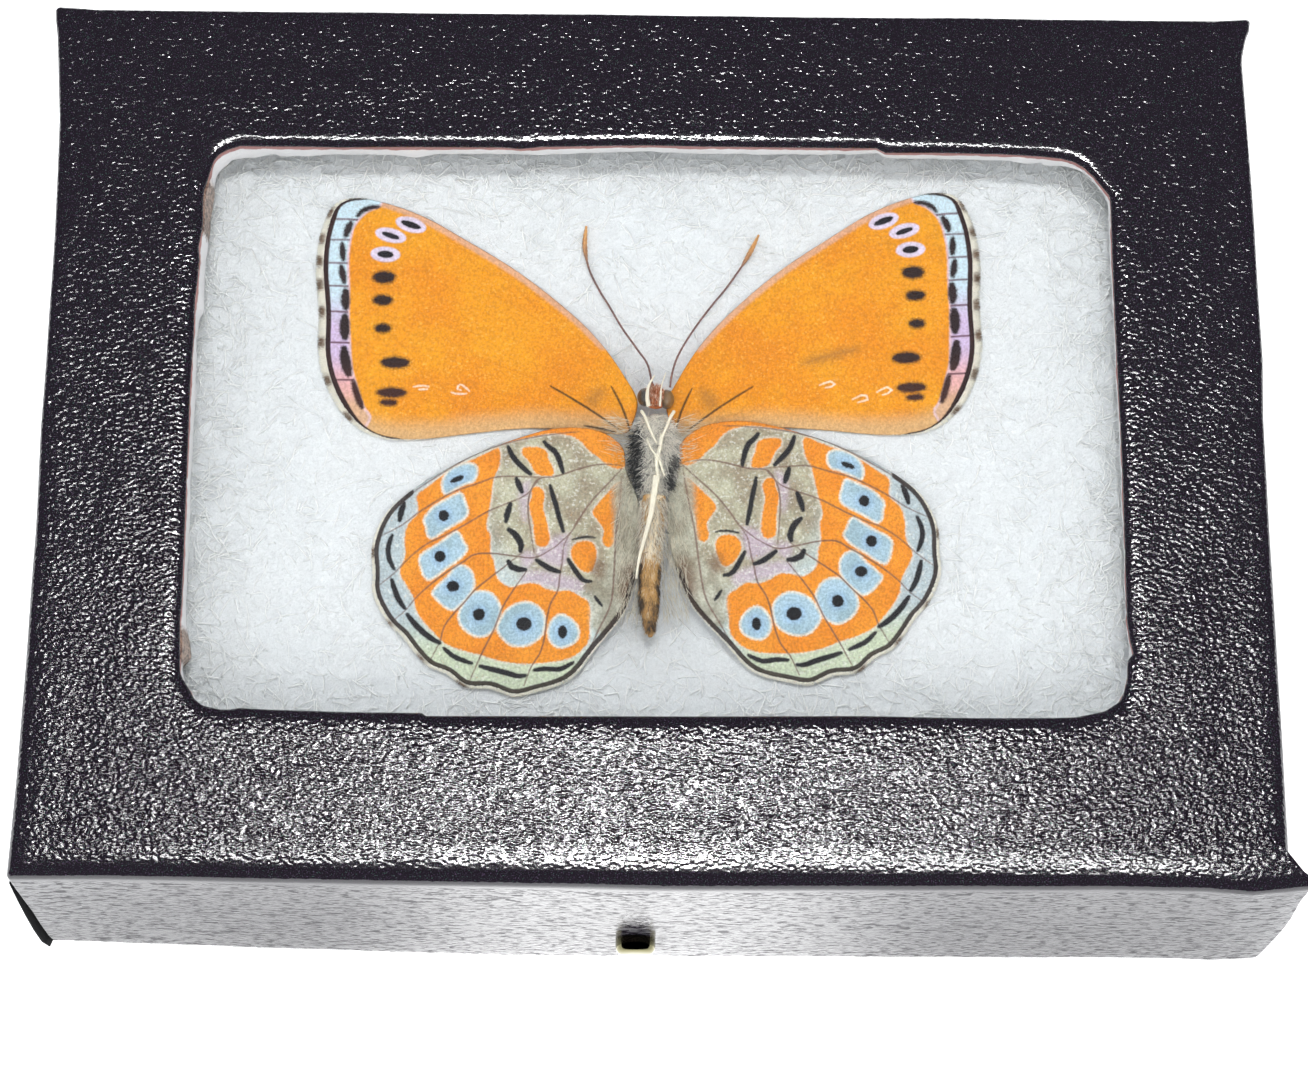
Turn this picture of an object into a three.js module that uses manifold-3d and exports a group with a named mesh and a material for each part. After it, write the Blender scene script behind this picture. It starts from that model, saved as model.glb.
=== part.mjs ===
// A butterfly specimen in a small glazed box. The lid and the tray are board covered in paper, the
// tray is filled with batting, and the butterfly lies on it underside up, close below the glass.
// Millimetres, +Z up, origin at the middle of the box's base, +Y towards the butterfly's head.
import * as THREE from 'three';
import { mergeVertices } from 'three/addons/utils/BufferGeometryUtils.js';
import Module from 'manifold-3d';

const wasm = await Module();
wasm.setup();

// Box
const BOX_WIDTH = 87.2;
const BOX_DEPTH = 64.8;
const BOX_HEIGHT = 19;
const PAPER = 0.3;
const LID_WALL = 1.9;
const LID_TOP = 2.4;
const LID_FOOT = 0.6;
const CORNER_RADIUS = 0.6;
const EDGE_RADIUS = 0.9;
const WINDOW_X = -0.18;
const WINDOW_Y = 0.54;
const WINDOW_WIDTH = 65.2;
const WINDOW_DEPTH = 42.7;
const WINDOW_RADIUS = 3.2;
const CUT_SLOPE = 0.3;

// Glass, tray and batting
const GLASS = 1.55;
const GLASS_PLAY = 0.15;
const TRAY_PLAY = 0.3;
const TRAY_WALL = 1.5;
const TRAY_FLOOR = 1.5;
const SLIT = 0.05;
const BATTING_GAP = 0.55;
const BATTING_PLAY = 0.2;
const BODY_HOLLOW = 0.75;
const BODY_HOLLOW_SPREAD = 2.6;
const WING_HOLLOW = 2;
const WING_HOLLOW_SPREAD = 5.6;
const HOLLOW_Y = -3.5;
const HOLLOW_REACH = 12.5;

// Pins through the lid's and tray's walls
const PIN_X = -1.4;
const PIN_Z = 5.4;
const PIN_RADIUS = 0.4;
const PIN_HEAD_RADIUS = 1.42;
const PIN_HEAD_HEIGHT = 0.95;
const PIN_LENGTH = 11;
const PIN_POINT = 1.6;

// Butterfly
const MIDLINE_X = -0.35;
const BUTTERFLY_Y = -0.15;
const WING = 0.12;
const WING_STEPS = 64;
const FORE_REST = 14.66;
const FORE_DIP = 1.5;
const FORE_SPREAD = 5;
const HIND_REST = 14.8;
const HIND_DIP = 1.5;
const HIND_SPREAD = 2.6;
const FORE_TURN = THREE.MathUtils.degToRad(2.7);
const HIND_TURN = THREE.MathUtils.degToRad(4.5);
const ROD_SIDES = 6;
const BODY_SIDES = 12;

const GLASS_TOP = BOX_HEIGHT - LID_TOP - SLIT;
const GLASS_BASE = GLASS_TOP - GLASS;
const TRAY_TOP = GLASS_BASE - SLIT;
const BATTING_TOP = GLASS_BASE - BATTING_GAP;
const TRAY_INSET = LID_WALL + TRAY_PLAY;
const BATTING_INSET = TRAY_INSET + TRAY_WALL + BATTING_PLAY;

// Wing outlines for one side: distance from the body's midline, place along the body, and the
// length of the fringe there. They run counter-clockwise on the right-hand side.
const FOREWING = [
  [1.75, 1.9, 0], [4.65, 1.7, 0], [8.65, 1.65, 0], [12.65, 1.2, 0], [16.65, 0.7, 0.1],
  [19.15, 0.85, 0.2], [20.65, 1.6, 0.35], [22, 3.1, 0.5], [22.95, 5, 0.55], [23.45, 7, 0.6],
  [23.55, 10.5, 0.6], [23.85, 14.2, 0.6], [23.6, 17, 0.5], [22.9, 18.9, 0.3],
  [21.6, 19.45, 0.1], [19.6, 19.12, 0.05], [16.65, 18.02, 0], [13.65, 16.25, 0],
  [9.65, 13.65, 0], [5.65, 10.3, 0], [3.65, 8.2, 0], [2.05, 6, 0], [1.05, 4.2, 0], [1.3, 2.8, 0],
];
const FOREWING_HEART = [14, 8.5];
const FOREWING_BASE = [1.35, 1.9];
const FOREWING_SHIFT = [0.08, -0.2];
const HINDWING = [
  [1.85, -1.2, 0], [1.25, -2.6, 0], [0.85, -4, 0.1], [0.78, -7, 0.1], [1.35, -10, 0.1],
  [2.05, -12, 0.2], [4.05, -14.8, 0.3], [5.85, -17, 0.45], [8.25, -17.9, 0.5],
  [9.65, -18.2, 0.5], [11.25, -17.65, 0.5], [12.95, -17.55, 0.5], [14.25, -16.6, 0.5],
  [15.45, -16.1, 0.5], [16.35, -15.2, 0.5], [17.35, -13.9, 0.5], [18.35, -12.9, 0.5],
  [19.4, -10.9, 0.5], [19.5, -9.2, 0.45], [19.6, -7.4, 0.4], [18.9, -5.2, 0.3],
  [17.65, -3.7, 0.1], [13.65, -1, 0], [9.65, 0.75, 0], [6.65, 1.58, 0], [3.65, 1.4, 0],
  [2.1, 0.4, 0],
];
const HINDWING_HEART = [10, -8];
const HINDWING_BASE = [1.85, -1.2];
const HINDWING_SHIFT = [0, 0.26];

function weld(source) {
  const geometry = source.clone();
  geometry.deleteAttribute('normal');
  geometry.deleteAttribute('uv');
  const merged = mergeVertices(geometry, 1e-5);
  const corners = [];
  for (let i = 0; i < merged.index.count; i += 3) {
    const [a, b, c] = [0, 1, 2].map((k) => merged.index.getX(i + k));
    if (a !== b && b !== c && c !== a) {
      corners.push(a, b, c);
    }
  }
  merged.setIndex(corners);
  return merged;
}

function toSolid(geometry) {
  const welded = weld(geometry);
  return new wasm.Manifold(new wasm.Mesh({
    numProp: 3,
    vertProperties: new Float32Array(welded.attributes.position.array),
    triVerts: new Uint32Array(welded.index.array),
  }));
}

function toGeometry(solid) {
  const mesh = solid.getMesh();
  const geometry = new THREE.BufferGeometry();
  geometry.setAttribute('position', new THREE.BufferAttribute(mesh.vertProperties, 3));
  geometry.setIndex(new THREE.BufferAttribute(mesh.triVerts, 1));
  return geometry;
}

// Skins a list of rings into one body. Rings run counter-clockwise seen from the end that the list
// runs towards. A ring of one point closes an end, and a list that ends on its first ring closes.
function loft(rings) {
  const sides = Math.max(...rings.map((ring) => ring.length));
  const profile = rings.map((ring, i) => new THREE.Vector2(1, i));
  const geometry = new THREE.LatheGeometry(profile, sides);
  for (let i = 0; i <= sides; i++) {
    rings.forEach((ring, j) => {
      const place = ring[i % ring.length];
      geometry.attributes.position.setXYZ(i * rings.length + j, ...place);
    });
  }
  return weld(geometry);
}

function roundedRing({ x = 0, y = 0, width, depth, radius, z }) {
  const ring = [];
  const steps = 4;
  const corners = [[1, 1], [-1, 1], [-1, -1], [1, -1]];
  corners.forEach(([sx, sy], corner) => {
    for (let i = 0; i <= steps; i++) {
      const angle = (corner + i / steps) * Math.PI / 2;
      ring.push([
        x + sx * (width / 2 - radius) + radius * Math.cos(angle),
        y + sy * (depth / 2 - radius) + radius * Math.sin(angle),
        z,
      ]);
    }
  });
  return ring;
}

// The box's outline, moved in by a distance, at one height.
function boxRing(inset, z) {
  return roundedRing({
    width: BOX_WIDTH - 2 * inset,
    depth: BOX_DEPTH - 2 * inset,
    radius: Math.max(CORNER_RADIUS - inset, 0.2),
    z,
  });
}

function windowRing(inset, z) {
  return roundedRing({
    x: WINDOW_X,
    y: WINDOW_Y,
    width: WINDOW_WIDTH - 2 * inset,
    depth: WINDOW_DEPTH - 2 * inset,
    radius: WINDOW_RADIUS - inset,
    z,
  });
}

// The rounded edge between the side and the top of a box whose faces are inset from the lid's.
function edgeRings(inset) {
  const radius = EDGE_RADIUS - inset;
  const steps = 4;
  const rings = [];
  for (let i = 0; i <= steps; i++) {
    const angle = i / steps * Math.PI / 2;
    const sideways = inset + radius * (1 - Math.cos(angle));
    rings.push(boxRing(sideways, BOX_HEIGHT - inset - radius * (1 - Math.sin(angle))));
  }
  return rings;
}

function lidPaper() {
  const foot = boxRing(0, LID_FOOT);
  return loft([
    foot,
    ...edgeRings(0),
    windowRing(0, BOX_HEIGHT),
    windowRing(0, BOX_HEIGHT - PAPER),
    ...edgeRings(PAPER).reverse(),
    boxRing(PAPER, LID_FOOT),
    foot,
  ]);
}

function lidBoard() {
  const foot = boxRing(PAPER, LID_FOOT);
  return loft([
    foot,
    ...edgeRings(PAPER),
    windowRing(0, BOX_HEIGHT - PAPER),
    windowRing(CUT_SLOPE, BOX_HEIGHT - LID_TOP),
    boxRing(LID_WALL, BOX_HEIGHT - LID_TOP),
    boxRing(LID_WALL, LID_FOOT),
    foot,
  ]);
}

function glassPane() {
  const inset = LID_WALL + GLASS_PLAY;
  const seam = 0.15;
  return loft([
    [[0, 0, GLASS_BASE]],
    boxRing(inset + seam, GLASS_BASE),
    boxRing(inset, GLASS_BASE + seam),
    boxRing(inset, GLASS_TOP - seam),
    boxRing(inset + seam, GLASS_TOP),
    [[0, 0, GLASS_TOP]],
  ]);
}

function tray() {
  const fold = 0.4;
  return loft([
    [[0, 0, 0]],
    boxRing(TRAY_INSET + fold, 0),
    boxRing(TRAY_INSET, fold),
    boxRing(TRAY_INSET, TRAY_TOP),
    boxRing(TRAY_INSET + TRAY_WALL, TRAY_TOP),
    boxRing(TRAY_INSET + TRAY_WALL, TRAY_FLOOR),
    [[0, 0, TRAY_FLOOR]],
  ]);
}

// The batting's top, pressed down where the butterfly's body and wing roots lie.
function battingHeight(x, y) {
  const across = x - MIDLINE_X;
  const along = Math.exp(-(((y - HOLLOW_Y) / HOLLOW_REACH) ** 6));
  const wings = WING_HOLLOW * Math.exp(-((across / WING_HOLLOW_SPREAD) ** 2));
  const body = BODY_HOLLOW * Math.exp(-((across / BODY_HOLLOW_SPREAD) ** 2));
  return BATTING_TOP - along * (wings + body);
}

function batting() {
  const width = BOX_WIDTH - 2 * BATTING_INSET;
  const depth = BOX_DEPTH - 2 * BATTING_INSET;
  const base = TRAY_FLOOR + SLIT;
  const geometry = new THREE.BoxGeometry(2, 2, 2, 24, 14, 1);
  const position = geometry.attributes.position;
  const crowd = (u, share) => share * u + (1 - share) * u ** 3;
  for (let i = 0; i < position.count; i++) {
    const x = crowd(position.getX(i), 0.35) * width / 2;
    const y = crowd(position.getY(i), 0.7) * depth / 2;
    const z = position.getZ(i) > 0 ? battingHeight(x, y) : base;
    position.setXYZ(i, x, y, z);
  }
  return weld(geometry);
}

// A pin along Y through the front wall, its domed head outside.
function pin(clearance) {
  const shank = PIN_RADIUS + clearance;
  const profile = [
    [0, 0], [PIN_HEAD_RADIUS * 0.55, 0.12], [PIN_HEAD_RADIUS * 0.85, 0.4],
    [PIN_HEAD_RADIUS, PIN_HEAD_HEIGHT * 0.8], [PIN_HEAD_RADIUS * 0.94, PIN_HEAD_HEIGHT],
    [shank, PIN_HEAD_HEIGHT], [shank, PIN_LENGTH - PIN_POINT], [0, PIN_LENGTH],
  ];
  const geometry = new THREE.LatheGeometry(profile.map((p) => new THREE.Vector2(...p)), 14);
  return geometry.translate(PIN_X, -BOX_DEPTH / 2 - PIN_HEAD_HEIGHT - SLIT, PIN_Z);
}

// The channel that the pin's shank runs in, for the front or the back wall.
function pinChannel(facing) {
  const start = BOX_DEPTH / 2 + 1;
  const reach = PIN_LENGTH + 1;
  const channel = new THREE.CylinderGeometry(PIN_RADIUS + SLIT, PIN_RADIUS + SLIT, reach, 14);
  channel.translate(PIN_X, facing * (start - reach / 2), PIN_Z);
  return toSolid(channel);
}

function drilled(geometry) {
  const solid = toSolid(geometry);
  return toGeometry(solid.subtract(pinChannel(-1)).subtract(pinChannel(1)));
}

// How high a wing lies: a forewing dips towards its root, a hindwing all along the body.
function forewingHeight(out, y) {
  const reach = Math.hypot(out - FOREWING_BASE[0], y - FOREWING_BASE[1]);
  return FORE_REST - FORE_DIP * Math.exp(-((reach / FORE_SPREAD) ** 2));
}

function hindwingHeight(out) {
  return HIND_REST - HIND_DIP * Math.exp(-((out / HIND_SPREAD) ** 2));
}

// A thin wing: rings run from its heart out to its edge on the under side and back over the top.
// side is 1 for the right and -1 for the left, and a right wing is turned and shifted as it lies.
function wing({ outline, heart, base, turn, shift, height, side }) {
  const curve = new THREE.CatmullRomCurve3(outline.map((p) => new THREE.Vector3(...p)), true);
  const edge = [];
  for (let i = 0; i < WING_STEPS; i++) {
    const place = curve.getPointAt(i / WING_STEPS);
    const along = curve.getTangentAt(i / WING_STEPS).setZ(0).normalize();
    edge.push([place.x + along.y * place.z, place.y - along.x * place.z]);
  }
  if (side < 0) {
    edge.reverse();
  }
  const pose = ([out, y], level) => {
    const angle = side > 0 ? turn : 0;
    const [dx, dy] = [out - base[0], y - base[1]];
    const [shiftX, shiftY] = side > 0 ? shift : [0, 0];
    const turnedOut = base[0] + dx * Math.cos(angle) - dy * Math.sin(angle) + shiftX;
    const turnedY = base[1] + dx * Math.sin(angle) + dy * Math.cos(angle) + shiftY;
    return [MIDLINE_X + side * turnedOut, turnedY, height(turnedOut, turnedY) + level];
  };
  const ring = (share, level) => edge.map(([out, y]) => pose(
    [heart[0] + (out - heart[0]) * share, heart[1] + (y - heart[1]) * share],
    level,
  ));
  const shares = [0.5, 0.8, 1];
  return loft([
    [pose(heart, -WING / 2)],
    ...shares.map((share) => ring(share, -WING / 2)),
    ...shares.toReversed().map((share) => ring(share, WING / 2)),
    [pose(heart, WING / 2)],
  ]);
}

function forewing(side) {
  return wing({
    outline: FOREWING, heart: FOREWING_HEART, base: FOREWING_BASE, turn: FORE_TURN,
    shift: FOREWING_SHIFT, height: forewingHeight, side,
  });
}

function hindwing(side) {
  return wing({
    outline: HINDWING, heart: HINDWING_HEART, base: HINDWING_BASE, turn: HIND_TURN,
    shift: HINDWING_SHIFT, height: hindwingHeight, side,
  });
}

// A closed rod bent along a curve. radius(t) is its radius at t, from 0 to 1 along the curve, and
// flat is its height over its width.
function rod({ path, radius, steps, sides = ROD_SIDES, flat = 1 }) {
  const curve = new THREE.CatmullRomCurve3(path.map((p) => new THREE.Vector3(...p)));
  const rings = [];
  for (let i = 0; i <= steps; i++) {
    const t = i / steps;
    const centre = curve.getPointAt(t);
    const along = curve.getTangentAt(t);
    const across = new THREE.Vector3(0, 0, 1).cross(along).normalize();
    const over = along.clone().cross(across);
    const ring = [];
    for (let k = 0; k < sides; k++) {
      const angle = k / sides * 2 * Math.PI;
      const place = centre.clone();
      place.addScaledVector(across, radius(t) * Math.cos(angle));
      place.addScaledVector(over, radius(t) * Math.sin(angle) * flat);
      ring.push(place.toArray());
    }
    rings.push(ring);
  }
  return loft([[curve.getPointAt(0).toArray()], ...rings, [curve.getPointAt(1).toArray()]]);
}

// A bead between 0 and 1 that is narrow at both ends and full between them.
function bead(t, power) {
  return Math.max(1 - Math.abs(2 * t - 1) ** power, 0.02) ** 0.5;
}

function antenna(path) {
  const shaft = 0.085;
  const club = 0.17;
  const clubStart = 0.8;
  const radius = (t) => {
    const into = (t - clubStart) / (1 - clubStart);
    return into > 0 ? shaft + (club - shaft) * Math.sin(Math.PI * into ** 0.8) : shaft;
  };
  return rod({ path, radius, steps: 30 });
}

function leg(path, thick, thin) {
  return rod({ path, radius: (t) => thick + (thin - thick) * t, steps: 12 });
}

function head() {
  const skull = new THREE.SphereGeometry(1, 14, 8).scale(1.05, 0.85, 0.72);
  const eye = new THREE.SphereGeometry(1, 12, 8).scale(0.55, 0.66, 0.66);
  const centre = [-0.1, 4.2, 14.1];
  const solid = toSolid(skull.translate(...centre));
  const left = toSolid(eye.clone().translate(centre[0] - 0.78, centre[1] + 0.05, centre[2]));
  const right = toSolid(eye.clone().translate(centre[0] + 0.78, centre[1] - 0.1, centre[2]));
  return toGeometry(solid.add(left).add(right));
}

function thorax() {
  return rod({
    path: [[-0.1, 3.1, 13.62], [-0.1, 0, 13.55], [-0.15, -3.1, 13.6]],
    radius: (t) => 1.62 * bead(t, 2.4),
    steps: 12,
    sides: BODY_SIDES,
    flat: 0.6,
  });
}

function abdomen() {
  const segments = 7;
  const radius = (t) => {
    const taper = 0.84 * (1 - 0.2 * t) * Math.min(1, (1.02 - t) * 4) ** 0.6;
    return taper * (0.96 + 0.04 * Math.abs(Math.sin(t * segments * Math.PI)));
  };
  return rod({
    path: [[-0.2, -3.25, 13.95], [-0.45, -7, 14], [-0.58, -10.5, 14.1], [-0.5, -13.8, 14.2]],
    radius,
    steps: 24,
    sides: BODY_SIDES,
    flat: 0.62,
  });
}

function piece(name, geometry, color, roughness, metalness = 0, opacity = 1) {
  const material = new THREE.MeshStandardMaterial({ color, roughness, metalness });
  material.opacity = opacity;
  material.transparent = opacity < 1;
  const mesh = new THREE.Mesh(geometry, material);
  mesh.name = name;
  return mesh;
}

const box = new THREE.Group();
box.add(piece('lid_paper', drilled(lidPaper()), 0x0d0d0f, 0.45));
box.add(piece('lid_board', drilled(lidBoard()), 0xd9cfc8, 0.9));
box.add(piece('glass_pane', glassPane(), 0xeef6f4, 0.03, 0, 0.25));
box.add(piece('tray', drilled(tray()), 0x111113, 0.6));
box.add(piece('batting', drilled(batting()), 0xe6e9ee, 0.95));

const frontPin = piece('pin_front', pin(0), 0xc9ccd0, 0.25, 1);
const backPin = piece('pin_back', pin(0), 0xc9ccd0, 0.25, 1);
backPin.rotation.z = Math.PI;
backPin.position.x = 2 * PIN_X;
box.add(frontPin, backPin);

const butterfly = new THREE.Group();
butterfly.position.y = BUTTERFLY_Y;
butterfly.add(piece('forewing_left', forewing(-1), 0xf39a2b, 0.7));
butterfly.add(piece('forewing_right', forewing(1), 0xf39a2b, 0.7));
butterfly.add(piece('hindwing_left', hindwing(-1), 0xbfc9c6, 0.7));
butterfly.add(piece('hindwing_right', hindwing(1), 0xbfc9c6, 0.7));
butterfly.add(piece('thorax', thorax(), 0x8f8a80, 0.9));
butterfly.add(piece('abdomen', abdomen(), 0xa8916a, 0.8));
butterfly.add(piece('head', head(), 0x5b4636, 0.4));
butterfly.add(piece('antenna_left', antenna([
  [-0.35, 5.15, 14.3], [-0.7, 6.6, 14.55], [-1.5, 7.8, 14.68], [-2.5, 9.3, 14.7],
  [-3.45, 11, 14.72], [-4.25, 12.4, 14.72], [-4.95, 14, 14.74], [-5.25, 15.8, 14.74],
  [-5.15, 17.3, 14.74],
]), 0x6f5a55, 0.6));
butterfly.add(piece('antenna_right', antenna([
  [0.92, 4.85, 14.5], [1.05, 5.8, 14.6], [1.4, 7, 14.68], [2, 8.2, 14.7], [3, 9.8, 14.72],
  [4, 11.2, 14.72], [5, 12.5, 14.72], [6, 14, 14.74], [6.7, 15.2, 14.74], [7.4, 16.7, 14.74],
]), 0x6f5a55, 0.6));
butterfly.add(piece('palp_left', leg([
  [-0.62, 3.45, 14.45], [-0.72, 4, 14.86], [-0.62, 4.8, 14.84], [-0.2, 5.7, 14.7],
], 0.12, 0.05), 0xe8dfc8, 0.8));
butterfly.add(piece('palp_right', leg([
  [0.2, 3.4, 14.5], [0.24, 4.1, 14.9], [0.3, 4.8, 14.84], [0.6, 5.9, 14.7],
], 0.1, 0.04), 0xe8dfc8, 0.8));
butterfly.add(piece('leg_mid_left', leg([
  [-1.1, 3.1, 14.25], [-0.85, 2.5, 14.66], [-0.5, 1.5, 14.76], [-0.05, 0.5, 14.76],
], 0.13, 0.09), 0xd8d0bd, 0.8));
butterfly.add(piece('leg_mid_right', leg([
  [1.2, 3.1, 14.25], [0.95, 2.5, 14.66], [0.6, 1.6, 14.76], [0.2, 0.6, 14.76],
], 0.13, 0.09), 0xd8d0bd, 0.8));
butterfly.add(piece('leg_hind', leg([
  [-0.05, -2, 14.7], [-0.25, -3.4, 14.76], [-0.45, -4.8, 14.78], [-0.95, -6.8, 14.74],
  [-1.3, -8.2, 14.6], [-1.5, -9.6, 14.5],
], 0.16, 0.05), 0xe3dac2, 0.8));
box.add(butterfly);

export default box;
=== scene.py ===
"""A butterfly specimen under glass in a small black paper-covered box.

The packed frame gives every piece its place. Sizes inside the helpers are millimetres, and each
mesh is scaled to metres as it is finished.
"""
import math

import bmesh
import bpy
import numpy as np
from mathutils import Matrix, Vector


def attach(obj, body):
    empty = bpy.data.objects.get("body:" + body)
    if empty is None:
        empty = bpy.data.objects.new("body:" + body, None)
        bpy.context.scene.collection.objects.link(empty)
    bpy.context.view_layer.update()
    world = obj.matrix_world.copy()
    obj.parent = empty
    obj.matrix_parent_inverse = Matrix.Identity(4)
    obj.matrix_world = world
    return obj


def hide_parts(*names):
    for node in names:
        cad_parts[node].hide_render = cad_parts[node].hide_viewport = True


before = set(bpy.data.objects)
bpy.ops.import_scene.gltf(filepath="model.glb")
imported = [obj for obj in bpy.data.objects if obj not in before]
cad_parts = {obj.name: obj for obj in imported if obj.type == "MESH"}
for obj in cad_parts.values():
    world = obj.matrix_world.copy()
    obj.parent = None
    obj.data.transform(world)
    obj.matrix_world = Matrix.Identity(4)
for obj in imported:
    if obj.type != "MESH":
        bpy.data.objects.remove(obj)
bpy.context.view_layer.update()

bl_info = {
    "name": "Framed Butterfly Specimen",
    "version": (1, 0, 0),
    "blender": (4, 5, 0),
    "location": "3D View > Sidebar > Specimen",
    "description": "Builds a glazed specimen box with a spread butterfly on batting",
    "category": "Add Mesh",
}

MM = 0.001
HAIR_STEPS = 4
# How far from a mark its distance is still measured.
FAR = 2.0

# Box, in mm. The outline's inset grows inwards, and z is up from the ground.
BOX = (87.2, 64.8)
BOX_TOP = 19.0
CORNER = 0.3
EDGE = 0.9
PAPER = 0.3
LID_FOOT = 0.6
LID_WALL = 1.9
LID_INNER_TOP = 16.6
WINDOW_CENTRE = (-0.18, 0.54)
WINDOW = (65.2, 42.7)
WINDOW_RADIUS = 3.2
# Points along each long side, each short side and each corner of the box's outlines.
LONG_STEPS, SHORT_STEPS, CORNER_STEPS = 190, 130, 20
# Heights where the lid's walls end and its top begins, where the bow of the top is taken, and
# where hairs stop under the glass.
WALL_TOP = 17.6
BEND = 18
UNDER_GLASS = 14.95
BATTING = (79.4, 57.0)
BATTING_BASE = 1.55
BATTING_TOP = 14.45
# The window as it was cut by hand: the edge of the paper, then the foot of the board.
PAPER_EDGE = [(-32.76, -17.87), (-32.86, -15.58), (-32.92, -14.14), (-32.85, -12.69), (-32.89, -6.85),
    (-32.93, 0.58), (-32.95, 3.6), (-32.87, 6.63), (-32.89, 9.7), (-32.77, 11.24), (-32.69, 12.79),
    (-32.81, 13.87), (-32.73, 14.34), (-32.56, 15.51), (-32.64, 17.47), (-32.6, 18.25), (-32.41, 18.89),
    (-32.23, 19.68), (-31.98, 20.63), (-31.64, 21.1), (-31.15, 21.42), (-30.15, 21.79), (-28.57, 21.76),
    (-25.83, 21.78), (-22.95, 21.73), (-18.62, 21.8), (-11.41, 21.82), (-9.96, 21.71), (-8.52, 21.88),
    (-4.19, 22), (-0.57, 22.07), (3.05, 22.01), (8.84, 21.98), (15.94, 21.96), (16.37, 21.6),
    (20.43, 21.64), (24.78, 21.57), (27.67, 21.41), (29.12, 21.27), (30.2, 20.96), (30.9, 20.49),
    (31.59, 19.7), (32.28, 18.75), (32.62, 18.28), (32.64, 17.18), (32.57, 13.26), (32.55, 7.07),
    (32.57, 2.5), (32.58, -2.02), (32.47, -9.43), (32.39, -13.81), (32.53, -15.26), (32.75, -16.27),
    (32.33, -16.63), (32.2, -18.14), (31.95, -19), (31.65, -19.65), (30.58, -20.36), (28.51, -20.8),
    (25.76, -20.85), (21.64, -20.87), (13.77, -20.76), (2.82, -20.84), (-15.89, -20.89), (-16.16, -20.68),
    (-21.41, -20.63), (-26.52, -20.48), (-28.64, -20.38), (-29.25, -20.49), (-29.93, -20.49),
    (-31.16, -20.21), (-31.73, -19.72), (-32.03, -19.15), (-32.61, -18.23)]
BOARD_EDGE = [(-32.96, -17.22), (-32.77, -16.72), (-32.3, -16.35), (-32.25, -15.99), (-32.5, -14.91),
    (-32.7, -13.45), (-32.8, -11.99), (-32.81, -6.1), (-32.84, 1.4), (-32.73, 2.92), (-32.83, 4.45),
    (-32.78, 5.98), (-32.92, 7.51), (-32.77, 9.06), (-32.47, 9.68), (-32.5, 12.17), (-32.46, 13.73),
    (-32.33, 14.9), (-32.16, 18.06), (-32.07, 19.25), (-32.03, 20.04), (-31.9, 20.44), (-31.49, 21),
    (-30.93, 21.57), (-29.99, 21.77), (-28.91, 21.9), (-27.83, 22.15), (-27.46, 21.91), (-26.01, 22),
    (-23.1, 22.11), (-18.74, 22.1), (-17.5, 21.91), (-15.83, 22.25), (-8.55, 22.22), (-4.18, 22.42),
    (-0.53, 22.53), (3.12, 22.4), (8.96, 22.36), (16.27, 22.5), (16.55, 22.14), (20.65, 22.13),
    (25.77, 22.01), (26.85, 21.7), (27.96, 21.87), (28.32, 21.63), (29.78, 21.64), (30.86, 21.25),
    (31.57, 20.7), (32.12, 19.9), (32.61, 19.27), (32.79, 18.55), (32.74, 17.36), (32.79, 11.06),
    (32.81, 3.34), (32.79, -4.23), (32.71, -12.39), (32.85, -15.32), (32.53, -17.71), (31.91, -19.16),
    (30.84, -19.88), (28.81, -20.32), (13.94, -20.28), (-15.99, -20.38), (-26.73, -19.96),
    (-30.16, -19.94), (-31.55, -19.66), (-32.28, -18.66)]
# How far the lid's paper stands out from the box's outline, by place along each side.
LEFT_BOW = [(-31.8, 0.23), (-29.7, 0.15), (-25.5, 0), (-17, -0.2), (-8, -0.36), (0, -0.3), (5, -0.4),
    (15, -0.45), (19, -0.41), (23.8, -0.3), (28.6, 0.04), (30.6, 0.2), (32, 0.42)]
RIGHT_BOW = [(-31.9, -0.2), (-30.9, -0.95), (-29.4, -0.88), (-21, -0.84), (-12, -0.88), (1, -0.8),
    (5.7, -0.6), (19.7, -0.66), (29.3, -0.78), (31, -0.39), (31.8, -0.02)]
FRONT_BOW = [(-43, -0.1), (-37, -0.1), (-24, 0.1), (-10, 0.3), (3, 0.5), (16, 0.45), (30, 0.36), (37, 0.5),
    (40, 0.75), (42.3, 0.5), (43.4, 0.2)]
BACK_BOW = [(-43.4, 0.46), (-41, 0.27), (-30, 0.24), (0, 0.16), (25, 0.1), (41, 0.06), (43.4, 0.22)]
FOOT_FLARE = [(-43, 0.25), (-37, 0.5), (-28, 0.75), (-11, 1.1), (43, 1.1)]
# The front right-hand corner, where the paper stands off the board.
EAR = (43.5, -32.3)
PIN_X = -1.4
PIN_Z = 5.4
# How far the front pin's head and the back one's stand out from the wall.
PIN_OUT = {-1: 2.2, 1: 1.35}

# Butterfly, in mm. "Out" is the distance from its midline, on either side.
MIDLINE = -0.35
BUTTERFLY_Y = -0.15
WING = 0.12
TURNS = {
    "forewing": ((1.35, 1.9), math.radians(2.7), (0.08, -0.2)),
    "hindwing": ((1.85, -1.2), math.radians(4.5), (0.0, 0.26)),
}

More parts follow.
